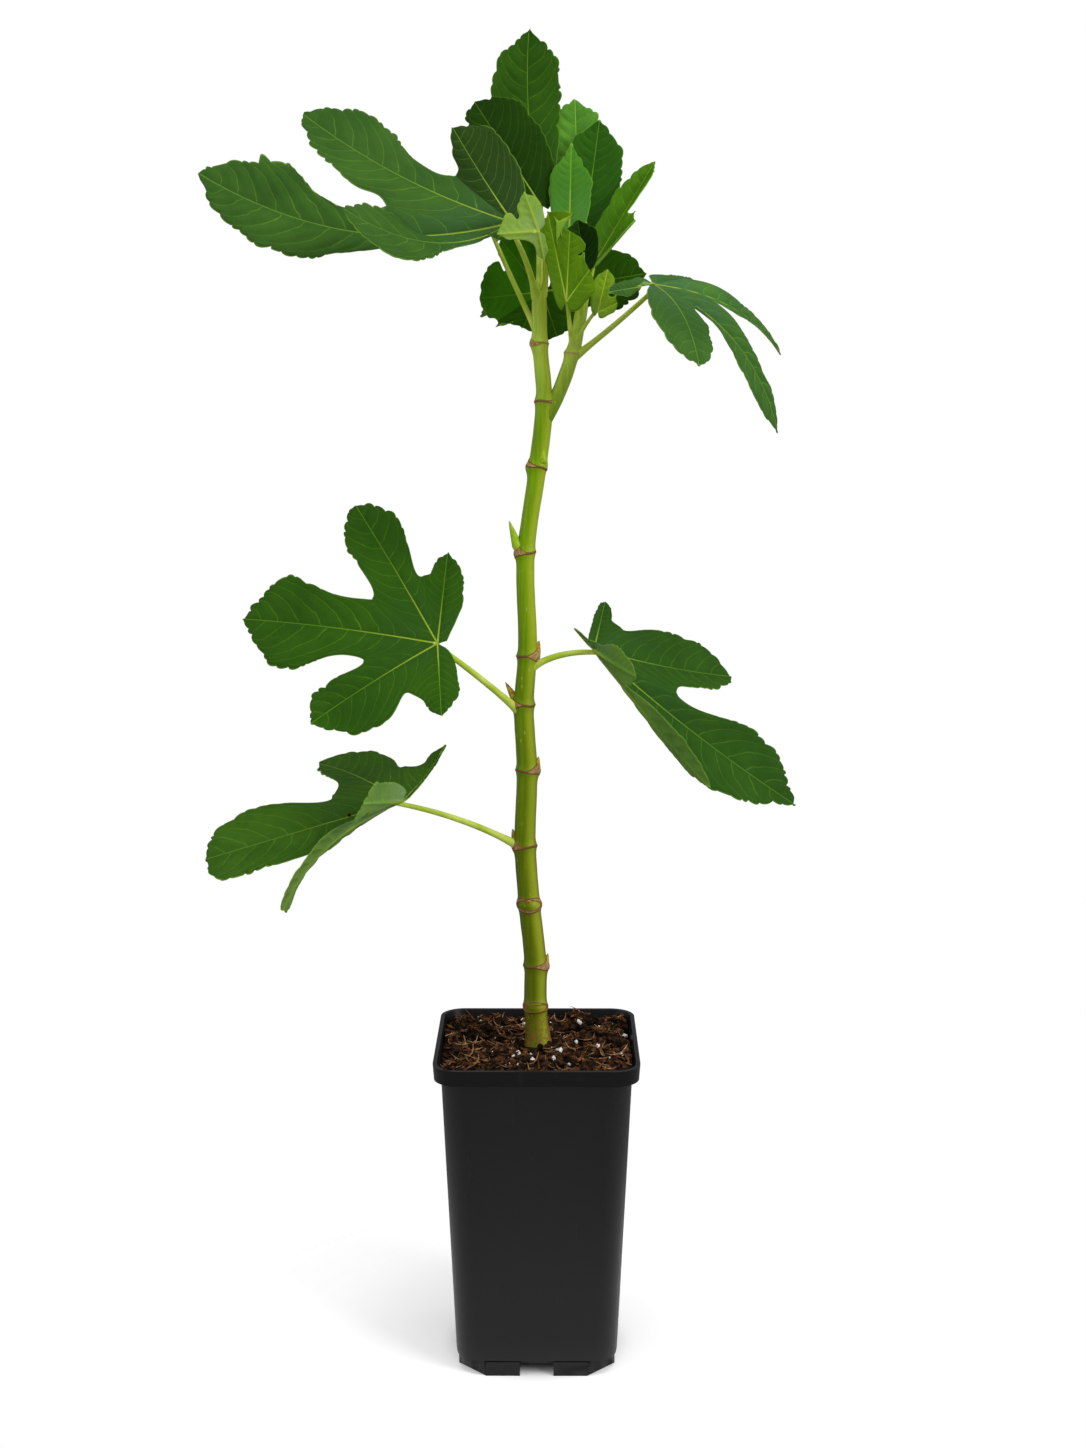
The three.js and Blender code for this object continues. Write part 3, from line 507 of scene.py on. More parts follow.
def scar_marks(angle, z, radius):
    """Where the stem is scar tissue, where the tissue has its dark edge, and how far it stands out.
    Each node has a narrow ring, and on one side the ring opens round the seat of a leaf. A seat
    that faces front is an open eye."""
    fill, edge, proud = np.zeros((3, len(z)))
    for node, _, swell, heading, rise, drop, tilt in TRUNK_NODES:
        off = np.angle(np.exp(1j * (angle - radians(heading))))
        away = np.clip(np.abs(off) / SEAT_SPREAD, 0, 1)
        seat = np.sqrt(1 - away ** 2) if heading == FRONT else 1 - away
        level = node + 0.35 * np.sin(3 * angle + node) - tilt * np.cos(angle)
        high = level + 0.5 + rise * seat
        low = level - 0.5 - drop * seat
        inside = step((z - low) / 0.5) * step((high - z) / 0.5)
        line = np.exp(-((z - high) / 0.5) ** 2) + np.exp(-((z - low) / 0.5) ** 2)
        if heading == FRONT:
            ring_far = np.hypot(np.sin(off) * radius / EYE[0], (z - node - 0.4) / EYE[1])
            front = step(np.cos(off) / 0.3)
            inside = inside * (1 - front * step((1.1 - ring_far) / 0.2))
            line += front * np.exp(-((ring_far - 1) / 0.1) ** 2)
        fill = np.maximum(fill, inside)
        edge = np.maximum(edge, np.clip(line, 0, 1))
        proud += (swell - 1) * radius * np.exp(-((z - node) / 3) ** 2)
        proud += 1.3 * seat * np.exp(-((z - node + 1) / 4.5) ** 2) + 0.2 * line + 0.25 * inside
    return fill, edge, proud


def bark_relief(angle, z):
    """Fine ribs and wrinkles of the skin, in millimetres."""
    ribs = 0.025 * np.sin(9 * angle + 0.05 * z) + 0.02 * np.sin(14 * angle - 0.03 * z)
    spots = (Vector((2.2 * cos(a), 2.2 * sin(a), h * 0.11)) for a, h in zip(angle, z))
    return ribs + 0.12 * np.array([noise.noise(spot) for spot in spots])


def stations(low, high, nodes):
    """Heights to model a limb at: close together at its nodes and wider between them."""
    heights = [low]
    while heights[-1] < high:
        near = min(abs(heights[-1] - node) for node in nodes)
        heights.append(heights[-1] + (0.42 if near < 7 else 1.8))
    heights[-1] = high
    return np.array(heights)


trunk = bmesh.new()
marks = {name: trunk.verts.layers.float.new(name) for name in ("scar", "scar_edge", "flank")}
trunk_heights = stations(TRUNK_FOOT, TRUNK_TIP[0], [row[0] for row in TRUNK_NODES])


def trunk_place(across, row):
    z = trunk_heights[row]
    angle = across * tau
    plain = stem_radius(z)
    fill, edge, proud = scar_marks(angle, z, plain)
    radius = plain + proud + bark_relief(angle, z)
    trunk_place.marks = {"scar": fill, "scar_edge": edge, "flank": np.cos(angle)}
    return np.stack([stem_side(z) + radius * np.cos(angle), radius * np.sin(angle), z], -1)


verts = laid_grid(trunk, TRUNK_SIDES, len(trunk_heights) - 1, trunk_place)
for name, layer in marks.items():
    for vert, mark in zip(verts, trunk_place.marks[name]):
        vert[layer] = mark
closed_round(trunk, verts)


def limb_finish(name, foot, top, low, high, scar, painted_highlight):
    """Green bark: one colour at the foot and another at the top, in Object height, with streaks
    along the stem, pale pores, a painted highlight down the right (+X) side, brown at the left and
    right sides that is partly the skin's colour and partly painted shade, and the scar tissue that
    the scar attribute marks."""
    finish = Finish(name)
    spot = finish.place()
    z = spot.part("Z")
    height = z.ease(low, high)
    streak = spot.tall(0.05).noise(520, 4, 0.6)
    cloud = spot.tall(0.4).noise(90, 3, 0.6)
    pores = finish.node("TexVoronoi", {}, {"Vector": spot.tall(0.45), "Scale": 330})
    pore = (1 - pores.ease(0.1, 0.24)) * cloud.ease(0.42, 0.6)
    finish.colour = finish.mix(height, foot, top)
    young = z.ease(0.6, 0.66)
    finish.coat(young * 0.85, paint(196, 222, 84))
    finish.coat(streak.ease(0.42, 0.66) * 0.4, paint(168, 176, 150), "MULTIPLY")
    finish.coat(pore * 0.5, paint(186, 186, 110))
    flank = finish.mark("flank")
    # Painted highlight: the +X side, from the flank mark, is painted paler, the light that falls on it from
    # the right.
    painted_side_light = (flank + (streak - 0.5) * 0.3).ease(-0.15, 0.65)
    finish.coat(painted_side_light * 0.6, painted_highlight)
    # Brown at both sides (±X): partly the skin's own brown, partly painted shade where the limb turns away
    # from the front.
    off = abs(flank + 0.04) + (cloud - 0.5) * 0.35
    finish.coat(off.ease(0.74, 1.0) * (0.8 - height * 0.7), paint(200, 156, 150), "MULTIPLY")
    fleck = (1 - z.ease(0.211, 0.236)) * spot.noise(480, 4, 0.7).ease(0.44, 0.58)
    finish.coat(fleck * 0.8, scar)
    rough_mark = (finish.mark("scar") + (spot.noise(900, 3, 0.7) - 0.5) * 0.5).ease(0.25, 0.75)
    tan = finish.mix(spot.noise(620, 4, 0.7).ease(0.36, 0.62), scar, paint(196, 150, 112))
    rim = finish.mark("scar_edge").ease(0.3, 0.8)
    finish.coat(rough_mark * 0.85, tan)
    finish.coat(rim * (0.85 - young * 0.45), paint(112, 68, 42))
    relief = streak * 0.6 + pore * 0.5 + rough_mark * 0.6
    return finish.surface(0.34 + rough_mark * 0.35 + streak * 0.1, 0.12, relief, 0.3, 0.0004)


# The last colour is the painted highlight down the trunk's right side.
green_bark = limb_finish(
    "green_bark", paint(98, 112, 0), paint(126, 168, 4), 0.22, 0.6, paint(138, 88, 54), paint(176, 188, 44))
trunk_piece = finished("trunk_bark", trunk, [green_bark], smooth=60)
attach(trunk_piece, "root")
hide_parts("trunk")


def direction(heading, lean):
    """A unit vector from its heading round +Z and its lean above level, in degrees."""
    heading, lean = radians(heading), radians(lean)
    return np.array([cos(lean) * cos(heading), cos(lean) * sin(heading), sin(lean)])


buds = bmesh.new()
for z, heading, long, radius, lean, brown in BUDS:
    made = bmesh.ops.create_uvsphere(buds, u_segments=20, v_segments=16, radius=1)["verts"]
    for vert in made:
        up = (vert.co.z + 1) / 2
        around = atan2(vert.co.y, vert.co.x)
        if vert.co.xy.length > 0.01:
            swell = (1 - up) ** 0.75 * min(1, 4 * up + 0.3) * (1.05 + 0.06 * cos(2 * around))
            vert.co.xy = vert.co.xy.normalized() * radius * swell
        vert.co.z = up * long
    for face in {face for vert in made for face in vert.link_faces}:
        face.material_index = brown
    foot = stem_centre(z) + direction(heading, 0) * (stem_radius(z) - 0.35 * radius)
    aim = Vector(direction(heading, lean)).to_track_quat("Z", "Y").to_matrix().to_4x4()
    bmesh.ops.transform(buds, matrix=Matrix.Translation(foot) @ aim, verts=made)


def bud_finish(name, pale, dark):
    finish = Finish(name)
    spot = finish.place()
    cloud = spot.noise(260, 3, 0.6)
    scales = spot.tall(0.2).noise(1400)
    finish.colour = finish.mix((cloud + (scales - 0.5) * 0.4).ease(0.4, 0.66), pale, dark)
    return finish.surface(0.45 + cloud * 0.15, 0.12, scales, 0.4, 0.0004)


bud_skins = [
    bud_finish("bud_green", paint(166, 200, 40), paint(134, 172, 24)),
    bud_finish("bud_scaly", paint(190, 172, 58), paint(158, 108, 52)),
]
bud_piece = finished("buds", buds, bud_skins)
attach(bud_piece, "root")

# ---- Side shoot ----
# This year's shoot: it leaves the trunk at a ring near the top, bends upright, and carries more
# than half of the crown's leaves, from one swollen node and its growing tip.
SHOOT_HEIGHTS = [602, 619, 646, 676]
SHOOT_SIDES = [3, 12, 22, 28]
SHOOT_DEPTHS = [0, 0, 0, 3]
SHOOT_RADII = [4.6, 4.5, 4.3, 3.4]
SHOOT_NODE = 646
SHOOT_AROUND = 40
shoot_heights = stations(SHOOT_HEIGHTS[0], SHOOT_HEIGHTS[-1], [SHOOT_NODE])


def shoot_centre(z):
    side = smooth_through(SHOOT_HEIGHTS, SHOOT_SIDES, z)
    return np.stack([side, smooth_through(SHOOT_HEIGHTS, SHOOT_DEPTHS, z), z], -1)


def shoot_place(across, row):
    z = shoot_heights[row]
    angle = across * tau
    line = SHOOT_NODE + 0.8 * np.cos(angle)
    ring_mark = np.exp(-((z - line) / 1.1) ** 2)
    radius = smooth_through(SHOOT_HEIGHTS, SHOOT_RADII, z) + 0.8 * np.exp(-((z - line) / 3) ** 2)
    radius += 0.35 * ring_mark + bark_relief(angle, z)
    shoot_place.marks = ring_mark * 0.7
    lean = np.gradient(smooth_through(SHOOT_HEIGHTS, SHOOT_SIDES, shoot_heights), shoot_heights)
    lean = np.interp(z, shoot_heights, lean)
    side = np.stack([np.ones_like(z), np.zeros_like(z), -lean], -1) / np.hypot(1, lean)[:, None]
    out = side * (radius * np.cos(angle))[:, None]
    out[:, 1] += radius * np.sin(angle)
    return shoot_centre(z) + out


shoot = bmesh.new()
scar = shoot.verts.layers.float.new("scar")
verts = laid_grid(shoot, SHOOT_AROUND, len(shoot_heights) - 1, shoot_place)
for vert, mark in zip(verts, shoot_place.marks):
    vert[scar] = mark
closed_round(shoot, verts)
# The last colour is the painted highlight; the shoot has no flank mark, so it is laid thinly all round.
young_bark = limb_finish(
    "young_bark", paint(112, 148, 14), paint(136, 168, 30), 0.6, 0.68, paint(150, 140, 70),
    paint(176, 194, 60))
shoot_piece = finished("side_shoot_bark", shoot, [young_bark], smooth=60)
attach(shoot_piece, "root")
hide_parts("side_shoot")

# ---- Leaves ----
# Fig leaves: a thin rough blade with one to six lobes on a round stalk. One strong vein runs out
# into each lobe and sends side veins to the wavy, blunt-toothed edge; the underside is paler, and
# its veins stand proud. The rule is that of the solids, with finer steps and a few closer sizes.
USUAL_LEAF = dict(
    slot="leaf_mature", swings=(0, 0, 0, 0), back=6, sinus_round=7, cup=6, shift=(0, 0), outward=None,
    under=(94, 108, 60), spot=None)
leaves = {}


def leaf_on(bearer, name, **sizes):
    """Starts a leaf on a stem. joint is where stalk meets blade, and aim is the blade's heading,
    pitch and roll in degrees. cuts are how far from the joint the gaps between its lobes begin,
    swings turn them, and cup is how steeply the blade rises from each midrib. stalk is the height
    where the stalk leaves the stem, its rise in degrees and its radius; outward is its heading
    there, and shift how far beside the stem's centre it starts. tint is the upper face's colour,
    under is what the underside's adds to it, and spot is the place of a small dead spot."""
    leaves[name] = USUAL_LEAF | sizes | {"bearer": bearer, "lobes": []}


def lobed(at, long, wide, **more):
    """Gives the last leaf a lobe, which points at degrees round from the main one. fold turns it
    up about the main lobe, and turn about its own midrib, whose middle bow and sweep lift above
    and beside its chord. widest is the share of the length where it is widest, skew and lean are
    the unlikeness of its halves in place and width, blunt the roundness of the tip, neck the narrow
    share of its foot, and lead how far an outer edge sets off along the lobe. shade is the painted
    light or shade on the lobe, a factor on its colour, wavy how much its edge waves, and torn a
    tear's side, place and depth."""
    list(leaves.values())[-1]["lobes"].append(dict(at=at, long=long, wide=wide, **more))


leaf_on(stem_centre, "leaf_low_left", joint=(-85, -15, 369), aim=(-166, -14, 24), cuts=(46, 46, 60, 30),
    swings=(0, 0, 4, 0), tint=(66, 112, 32), under=(124, 138, 90), spot=(-117.4, -21.9, 361.3),
    stalk=(334, 32, 2.3))
lobed(-126, 75, 8, fold=-11, bow=-3, skew=0.15, lean=0.5, blunt=0.31, lead=1, wavy=3)
lobed(-70, 106, 44, fold=-14, bow=4, widest=0.51, lean=-0.28, blunt=0.41, shade=0.85, wavy=1.8)
lobed(0, 127, 56, widest=0.79, skew=0.16, lean=-0.05, blunt=0.82, neck=0.08, wavy=2)
lobed(36, 115, 25, fold=-1, turn=76, bow=12, widest=0.74, blunt=0.75, shade=0.62, wavy=4)
lobed(59, 56, 29, fold=44, turn=40, widest=0.85, lead=1)
leaf_on(stem_centre, "leaf_mid_left", joint=(-61, -25, 470), aim=(178, 7, 59), cuts=(48, 49, 47, 40),
    swings=(0, 4, 2, 0), tint=(52, 99, 22), stalk=(421, 42, 2.4))
lobed(-87, 69, 22, fold=-10, widest=0.64, skew=0.1, lean=-0.2, blunt=0.45, neck=0.34, lead=0.9)
lobed(-54, 112, 38, fold=-4, bow=3, widest=0.75, skew=-0.04, lean=0.04, blunt=0.54)
lobed(0, 121, 63, bow=4, widest=0.75, skew=-0.03, lean=0.03, blunt=0.33, neck=0.53)
lobed(44, 94, 44, fold=5, bow=3, widest=0.71, skew=-0.07, lean=0.27, blunt=0.48)
lobed(101, 50, 21, fold=6, widest=0.74, skew=-0.13, lean=0.11, blunt=0.49, lead=0.9)
leaf_on(stem_centre, "leaf_mid_right", joint=(36, -10, 465), aim=(-9, -37, -38), cuts=(9, 30, 66, 60, 37),
    swings=(0, 0, 0, -2, 6), tint=(52, 96, 32), stalk=(449, 38, 2.4))
lobed(-140, 22, 4, fold=60, lead=1)
lobed(-52, 52, 22, fold=52, turn=-45, bow=-1, widest=0.5, lead=1)
lobed(-27, 120, 30, fold=23.6, turn=-52, bow=-1, widest=0.7)
lobed(0, 158, 59, bow=-5, widest=0.68, skew=0.03, lean=-0.04, blunt=0.39, neck=0.31)
lobed(41, 105, 46, fold=-13, bow=-3, widest=0.57, skew=-0.03, lean=0.24, blunt=0.8)
lobed(105, 56, 12, fold=-17, lean=-0.11, lead=1)
leaf_on(stem_centre, "leaf_crown_left", joint=(-14, -18, 723), aim=(-172, 8, 67), cuts=(47, 75, 50, 20),
    swings=(-2, 3, 0, 0), tint=(66, 110, 46), stalk=(679, 62, 2.1), shift=(-1.8, -1.2), outward=-110)
lobed(-54, 70, 31, fold=-1, bow=-2, widest=0.68, lean=-0.53, blunt=0.65, neck=0.11, shade=0.4)
lobed(-28, 148, 57, fold=-22, bow=-3, sweep=6, widest=0.69, skew=-0.06, lean=-0.06, blunt=0.49, neck=0.28)
lobed(0, 187, 56, bow=-4, sweep=20, widest=0.72, skew=-0.05, lean=-0.05, blunt=0.51, neck=0.6,
    torn=(-1, 38, 4.5))
lobed(31, 119, 50, fold=55, turn=-25, bow=-10, sweep=12, widest=0.73, skew=0.03, lean=0.21, blunt=0.67,
    neck=0.56)
lobed(69, 30, 18, fold=38)
leaf_on(stem_centre, "leaf_crown_top", joint=(3, 26, 740), aim=(108, 76, 17), cup=8, slot="leaf_dark",
    tint=(50, 96, 20), stalk=(668, 60, 2))
lobed(0, 108, 44, bow=-4, sweep=4, widest=0.67, skew=-0.05, lean=0.06, blunt=0.45, lead=1)
leaf_on(stem_centre, "leaf_crown_dark", joint=(2, 8, 736), aim=(164, 56, 55), cup=8, slot="leaf_dark",
    tint=(28, 66, 6), stalk=(680, 82, 1.6), shift=(-0.6, 2.1))
lobed(0, 74, 42, lean=-0.25, blunt=0.75)
# This leaf's bright tint is painted backlight, the light that shines through its blade.
leaf_on(shoot_centre, "leaf_crown_backlit", joint=(26, 32, 724), aim=(98, 78, 8), slot="leaf_fresh",
    tint=(106, 170, 64), stalk=(668, 84, 1.5), shift=(-1, 1.2), outward=90)
lobed(0, 81, 40)
leaf_on(shoot_centre, "leaf_crown_right_dark", joint=(30, 24, 724), aim=(54, 77, -29), slot="leaf_dark",
    tint=(48, 104, 22), stalk=(674, 80, 1.3), shift=(1.2, 1.4), outward=70)
lobed(0, 66, 38, widest=0.5)
leaf_on(shoot_centre, "leaf_crown_mid", joint=(20, 3, 722), aim=(85, 75, -5), slot="leaf_fresh",
    tint=(84, 150, 48), stalk=(673, 80, 1.2), shift=(-2, -0.6), outward=180)
lobed(0, 52, 26, widest=0.45, blunt=0.2)
leaf_on(shoot_centre, "leaf_crown_spear", joint=(33, 0, 697), aim=(27, 56, -23), cuts=(40,), cup=30,
    slot="leaf_fresh", tint=(84, 140, 22), stalk=(671, 78, 1.3), shift=(2, -0.6), outward=0)
lobed(-29, 39, 10, fold=22)
lobed(0, 79, 24)
leaf_on(shoot_centre, "leaf_crown_curl", joint=(29, -10, 700), aim=(-155, 79, 110), cup=35, slot="leaf_dark",
    tint=(22, 58, 8), stalk=(668, 76, 1), shift=(0.4, -2), outward=-90)
lobed(0, 25, 24)
leaf_on(shoot_centre, "leaf_young", joint=(18, -30, 676), aim=(47, 86, -49), cuts=(28, 46), cup=4,
    slot="leaf_young", tint=(100, 144, 18), stalk=(646, 50, 1.6))
lobed(-37, 25, 20, fold=-23)
lobed(0, 41, 20)
lobed(15, 53, 22, fold=-4, lean=-0.35, blunt=0.3, lead=0.6)
leaf_on(shoot_centre, "leaf_tiny", joint=(37, -16, 670), aim=(19, 76, -72), cuts=(12,), cup=4, back=3,
    sinus_round=3, slot="leaf_young", tint=(138, 178, 44), stalk=(649, 60, 1.4))
lobed(-53, 13, 9, fold=15)
lobed(0, 26, 13)
leaf_on(stem_centre, "leaf_hanging", joint=(3, 22, 684), aim=(-170, -61, 76), cuts=(26, 33, 24, 30), cup=4,
    slot="leaf_dark", tint=(46, 94, 8), stalk=(658, 55, 1.7))
lobed(-113, 41, 27, fold=5, lean=-0.4, shade=2.9)
lobed(-55, 39, 34, fold=6, widest=0.46, lean=-0.25, lead=0.6, shade=2.9)
lobed(0, 25, 30, shade=1.5)
lobed(48, 29, 32, fold=-4, shade=1.2)
lobed(129, 66, 40, fold=-9)
leaf_on(shoot_centre, "leaf_crown_right", joint=(71, -10, 687), aim=(-11, -49, -7), cuts=(10, 31, 36, 34),
    swings=(-20, 5, 10, 16), tint=(66, 110, 50), stalk=(642, 36, 2))
lobed(-94, 69, 10, fold=-7, widest=0.68, blunt=0.7)
lobed(-45, 85, 39, fold=2, turn=24, bow=8, widest=0.56, skew=-0.01, lean=-0.31, blunt=0.8, shade=1.1)
lobed(0, 117, 22, turn=22, bow=18, widest=0.75, lean=-0.45, neck=0.27, shade=1.15)
lobed(50, 120, 14, fold=10, bow=12, widest=0.61, skew=0.14, lean=0.21, blunt=0.55, neck=0.35, shade=1.5)
lobed(85, 87, 12, fold=4, shade=1.3)
leaf_on(stem_centre, "leaf_pale", joint=(1, -38, 716), aim=(-154, -6, -98), cuts=(8, 14), cup=4, back=3,
    sinus_round=4, slot="leaf_young", tint=(106, 138, 52), stalk=(680, 75, 1.7), shift=(2.2, -0.8),
    outward=-30)
lobed(-104, 18, 8, fold=24, blunt=0.3)
lobed(0, 27, 16, lean=0.5, blunt=0.2)
lobed(77, 24, 16, blunt=0.2)
leaf_on(stem_centre, "leaf_back_left", joint=(-27, 12, 719), aim=(106, 6, 12), cuts=(40, 50, 40),
    tint=(50, 94, 28), stalk=(656, 62, 1.9), outward=165)
lobed(-48, 64, 30, fold=-6, bow=4)
lobed(0, 106, 46, bow=10)
lobed(40, 82, 36, fold=-6, bow=6)
lobed(82, 46, 24, fold=-4)
leaf_on(shoot_centre, "leaf_back_right", joint=(32, 48, 678), aim=(104, 0, 0), cuts=(36, 46, 44),
    tint=(52, 96, 30), stalk=(652, 8, 1.9), shift=(0, 1))
lobed(-68, 44, 22, fold=30)
lobed(-34, 74, 32, fold=8, bow=5)
lobed(0, 104, 44, bow=10)
lobed(42, 84, 36, fold=-6, bow=5)

UP = np.array([0, 0, 1])
BACK_ANGLE = radians(155)
CREASE_SOFT = 2
INNER_ROWS = 16
ROW_STEP = 0.8
HALF_COLUMNS = 12
MIDRIB_CROWD = 1.4
TOOTH = 6.6
TOOTH_HEIGHTS = (0.45, 0.7, 0.9, 1.0, 1.1, 1.7)
PUFF = 0.085
BLADE_THICK = 1.5
STALK_SIDES = 14
UV_SPAN = 100


def unit(rows):
    return rows / np.linalg.norm(rows, axis=-1, keepdims=True)


def pointed(angle):
    return np.array([cos(angle), sin(angle)])


def turned(first, second, angle):
    """The first of two square vectors turned towards the second."""
    return first * cos(angle) + second * sin(angle)


def wrap(angle):
    return (angle + pi) % tau - pi


class Lobe:
    """One lobe of a blade: its sizes, and its own directions in space."""

    usual = dict(
        fold=0, turn=0, bow=0, sweep=0, widest=0.6, skew=0, lean=0, blunt=0.5, neck=0, lead=0.3,
        shade=1, wavy=1, torn=(0, 0, 0))

    def __init__(self, row, aim, left, up):
        vars(self).update(self.usual | row)
        self.angle = radians(self.at)
        fold = radians(self.fold) * (-1 if self.at < 0 else 1)
        twist = radians(self.turn)
        across = turned(left, up, fold)
        over = turned(up, -left, fold)
        side = turned(across, -aim, self.angle)
        self.axis = pointed(self.angle)
        self.cross = np.array([-self.axis[1], self.axis[0]])
        self.along = turned(aim, across, self.angle)
        self.side = turned(side, over, twist)
        self.up = turned(over, -side, twist)
        self.spread = atan2(self.wide / 2, self.long * self.widest)


def ready_lobes(leaf):
    """The leaf's lobes, aimed: the main one along heading and pitch, with the blade rolled on it."""
    heading, pitch, roll = leaf["aim"]
    aim = direction(heading, pitch)
    level = unit(UP - aim * aim[2])
    up = turned(level, np.cross(level, aim), radians(roll))
    return [Lobe(row, aim, np.cross(up, aim), up) for row in leaf["lobes"]]


def bend_with(leaf, lobe, points):
    """Places of the flat blade bent with one lobe, and the way out of the upper face at each."""
    t = points @ lobe.axis / lobe.long
    out = points @ lobe.cross
    inside = np.clip(t, 0, 1)
    hump = 4 * inside * (1 - inside) + 4 * np.minimum(t, 0) - 4 * np.maximum(t - 1, 0)
    lift = lobe.up * lobe.bow + lobe.side * lobe.sweep
    tangent = unit(lobe.along * lobe.long + np.outer(4 * (1 - 2 * inside), lift))
    up = unit(lobe.up - tangent * (tangent @ lobe.up)[:, None])
    side = np.cross(up, tangent)
    cup = radians(leaf["cup"])
    crease = np.hypot(out, CREASE_SOFT) - CREASE_SOFT
    place = np.array(leaf["joint"]) + np.outer(lobe.long * t, lobe.along) + np.outer(hump, lift)
    place += side * (out * cos(cup))[:, None] + up * (crease * sin(cup))[:, None]
    return place, up


def sinus(leaf, lobes, i, side):
    """Bottom of the gap on one side of a lobe; the outer lobes start just behind the joint."""
    if not 0 <= i + side < len(lobes):
        return leaf["back"] * pointed(side * BACK_ANGLE)
    first = min(i, i + side)
    low, high = lobes[first], lobes[first + 1]
    angle = (low.angle + low.spread + high.angle - high.spread) / 2
    return leaf["cuts"][first] * pointed(angle + radians(leaf["swings"][first]))


def bezier(points, t):
    a, b, c, d = (np.array(point)[None] for point in points)
    t = t[:, None]
    return a * (1 - t) ** 3 + 3 * b * t * (1 - t) ** 2 + 3 * c * t * t * (1 - t) + d * t ** 3


def half_outline(leaf, lobes, i, side, steps):
    """Half a lobe's outline: one curve from the gap to the widest place, and one on to the tip."""
    lobe = lobes[i]
    start = sinus(leaf, lobes, i, side)
    outer = not 0 <= i + side < len(lobes)
    across = lobe.cross * side
    half = lobe.wide / 2 * (1 + side * lobe.lean)
    fair = lobe.widest + side * lobe.skew
    widest = fair if outer else max(fair, (start @ lobe.axis + 4) / lobe.long)
    shoulder = lobe.axis * lobe.long * widest + across * half
    tip = lobe.axis * lobe.long
    if outer:
        leave = unit(across * 0.8 + lobe.axis * lobe.lead)
        wanted = half * 0.6
    else:
        leave = np.array([start[1], -start[0]]) * side / np.linalg.norm(start)
        wanted = leaf["sinus_round"]
    rounding = min(wanted, 0.5 * np.linalg.norm(shoulder - start))
    run = (shoulder - start) @ lobe.axis
    left = lobe.long * (1 - widest)
    t = np.linspace(0, 1, steps + 1)
    low = bezier((
        start, start + leave * rounding + lobe.axis * run * lobe.neck,
        shoulder - lobe.axis * max(run * (1 - lobe.neck) / 2, 2), shoulder), t)
    high = bezier((
        shoulder, shoulder + lobe.axis * 0.55 * left,
        tip + across * half * lobe.blunt - lobe.axis * 0.35 * left * (1 - lobe.blunt), tip), t)
    return np.concatenate([low, high[1:]])


def place_on_blade(leaf, lobes, i, points):
    """Near the joint a place bends partly with the neighbouring lobe, so the lobes share a sheet."""
    own, up = bend_with(leaf, lobes[i], points)
    placed = own.copy()
    for side in (1, -1):
        if not 0 <= i + side < len(lobes):
            continue
        gap = sinus(leaf, lobes, i, side)
        deep = np.linalg.norm(gap)
        off = side * wrap(np.arctan2(points[:, 1], points[:, 0]) - lobes[i].angle)
        reach = side * wrap(atan2(gap[1], gap[0]) - lobes[i].angle)
        share = step(np.clip(off / reach / 2, 0, 0.5))
        fade = 1 - step((np.linalg.norm(points, axis=1) - deep) / (0.8 * deep))
        placed += (bend_with(leaf, lobes[i + side], points)[0] - own) * (share * fade)[:, None]
    return placed, up


def teeth(edge, seed, depth, torn):
    """How far each step of an edge moves out: blunt teeth of uneven width and height that lean
    towards the tip. They start some way from the gap, whose own edge is smooth. torn is the side of
    a tear, how far from the tip it is, and how deep: the edge steps in there and comes back out."""
    run = np.concatenate([[0], np.cumsum(np.linalg.norm(np.diff(edge, axis=0), axis=1))])
    dice = random.Random(seed)
    starts, heights = [-TOOTH * dice.random()], []
    while starts[-1] <= run[-1]:
        starts.append(starts[-1] + TOOTH * dice.uniform(0.55, 1.5))
        heights.append(dice.choice(TOOTH_HEIGHTS))
    starts, heights = np.array(starts), np.array(heights)
    which = np.searchsorted(starts, run, side="right") - 1
    x = (run - starts[which]) / np.diff(starts)[which]
    tooth = heights[which] * (np.sin(pi * x ** 1.3) ** 0.5 - 0.85)
    swell = 0.6 * np.sin(run / 2.7 + 5 * seed) + 0.8 * np.sin(run / 4.6 + 3 * seed)
    size = depth * step((run / run[-1] - 0.2) / 0.35) * step((run[-1] - run) / 7)
    beyond = run - (run[-1] - torn[1])
    tear = torn[2] * step(beyond + 0.5) * np.exp(-(np.maximum(beyond, 0) / 11) ** 2)
    lip = 0.4 * torn[2] * (1 - step(beyond + 0.5)) * np.exp(-(beyond / 5) ** 2)
    tangent = unit(np.gradient(edge, axis=0) + 1e-9)
    out = np.stack([-tangent[:, 1], tangent[:, 0]], -1)
    return out * ((tooth + 0.6 * swell) * size - tear + lip)[:, None]


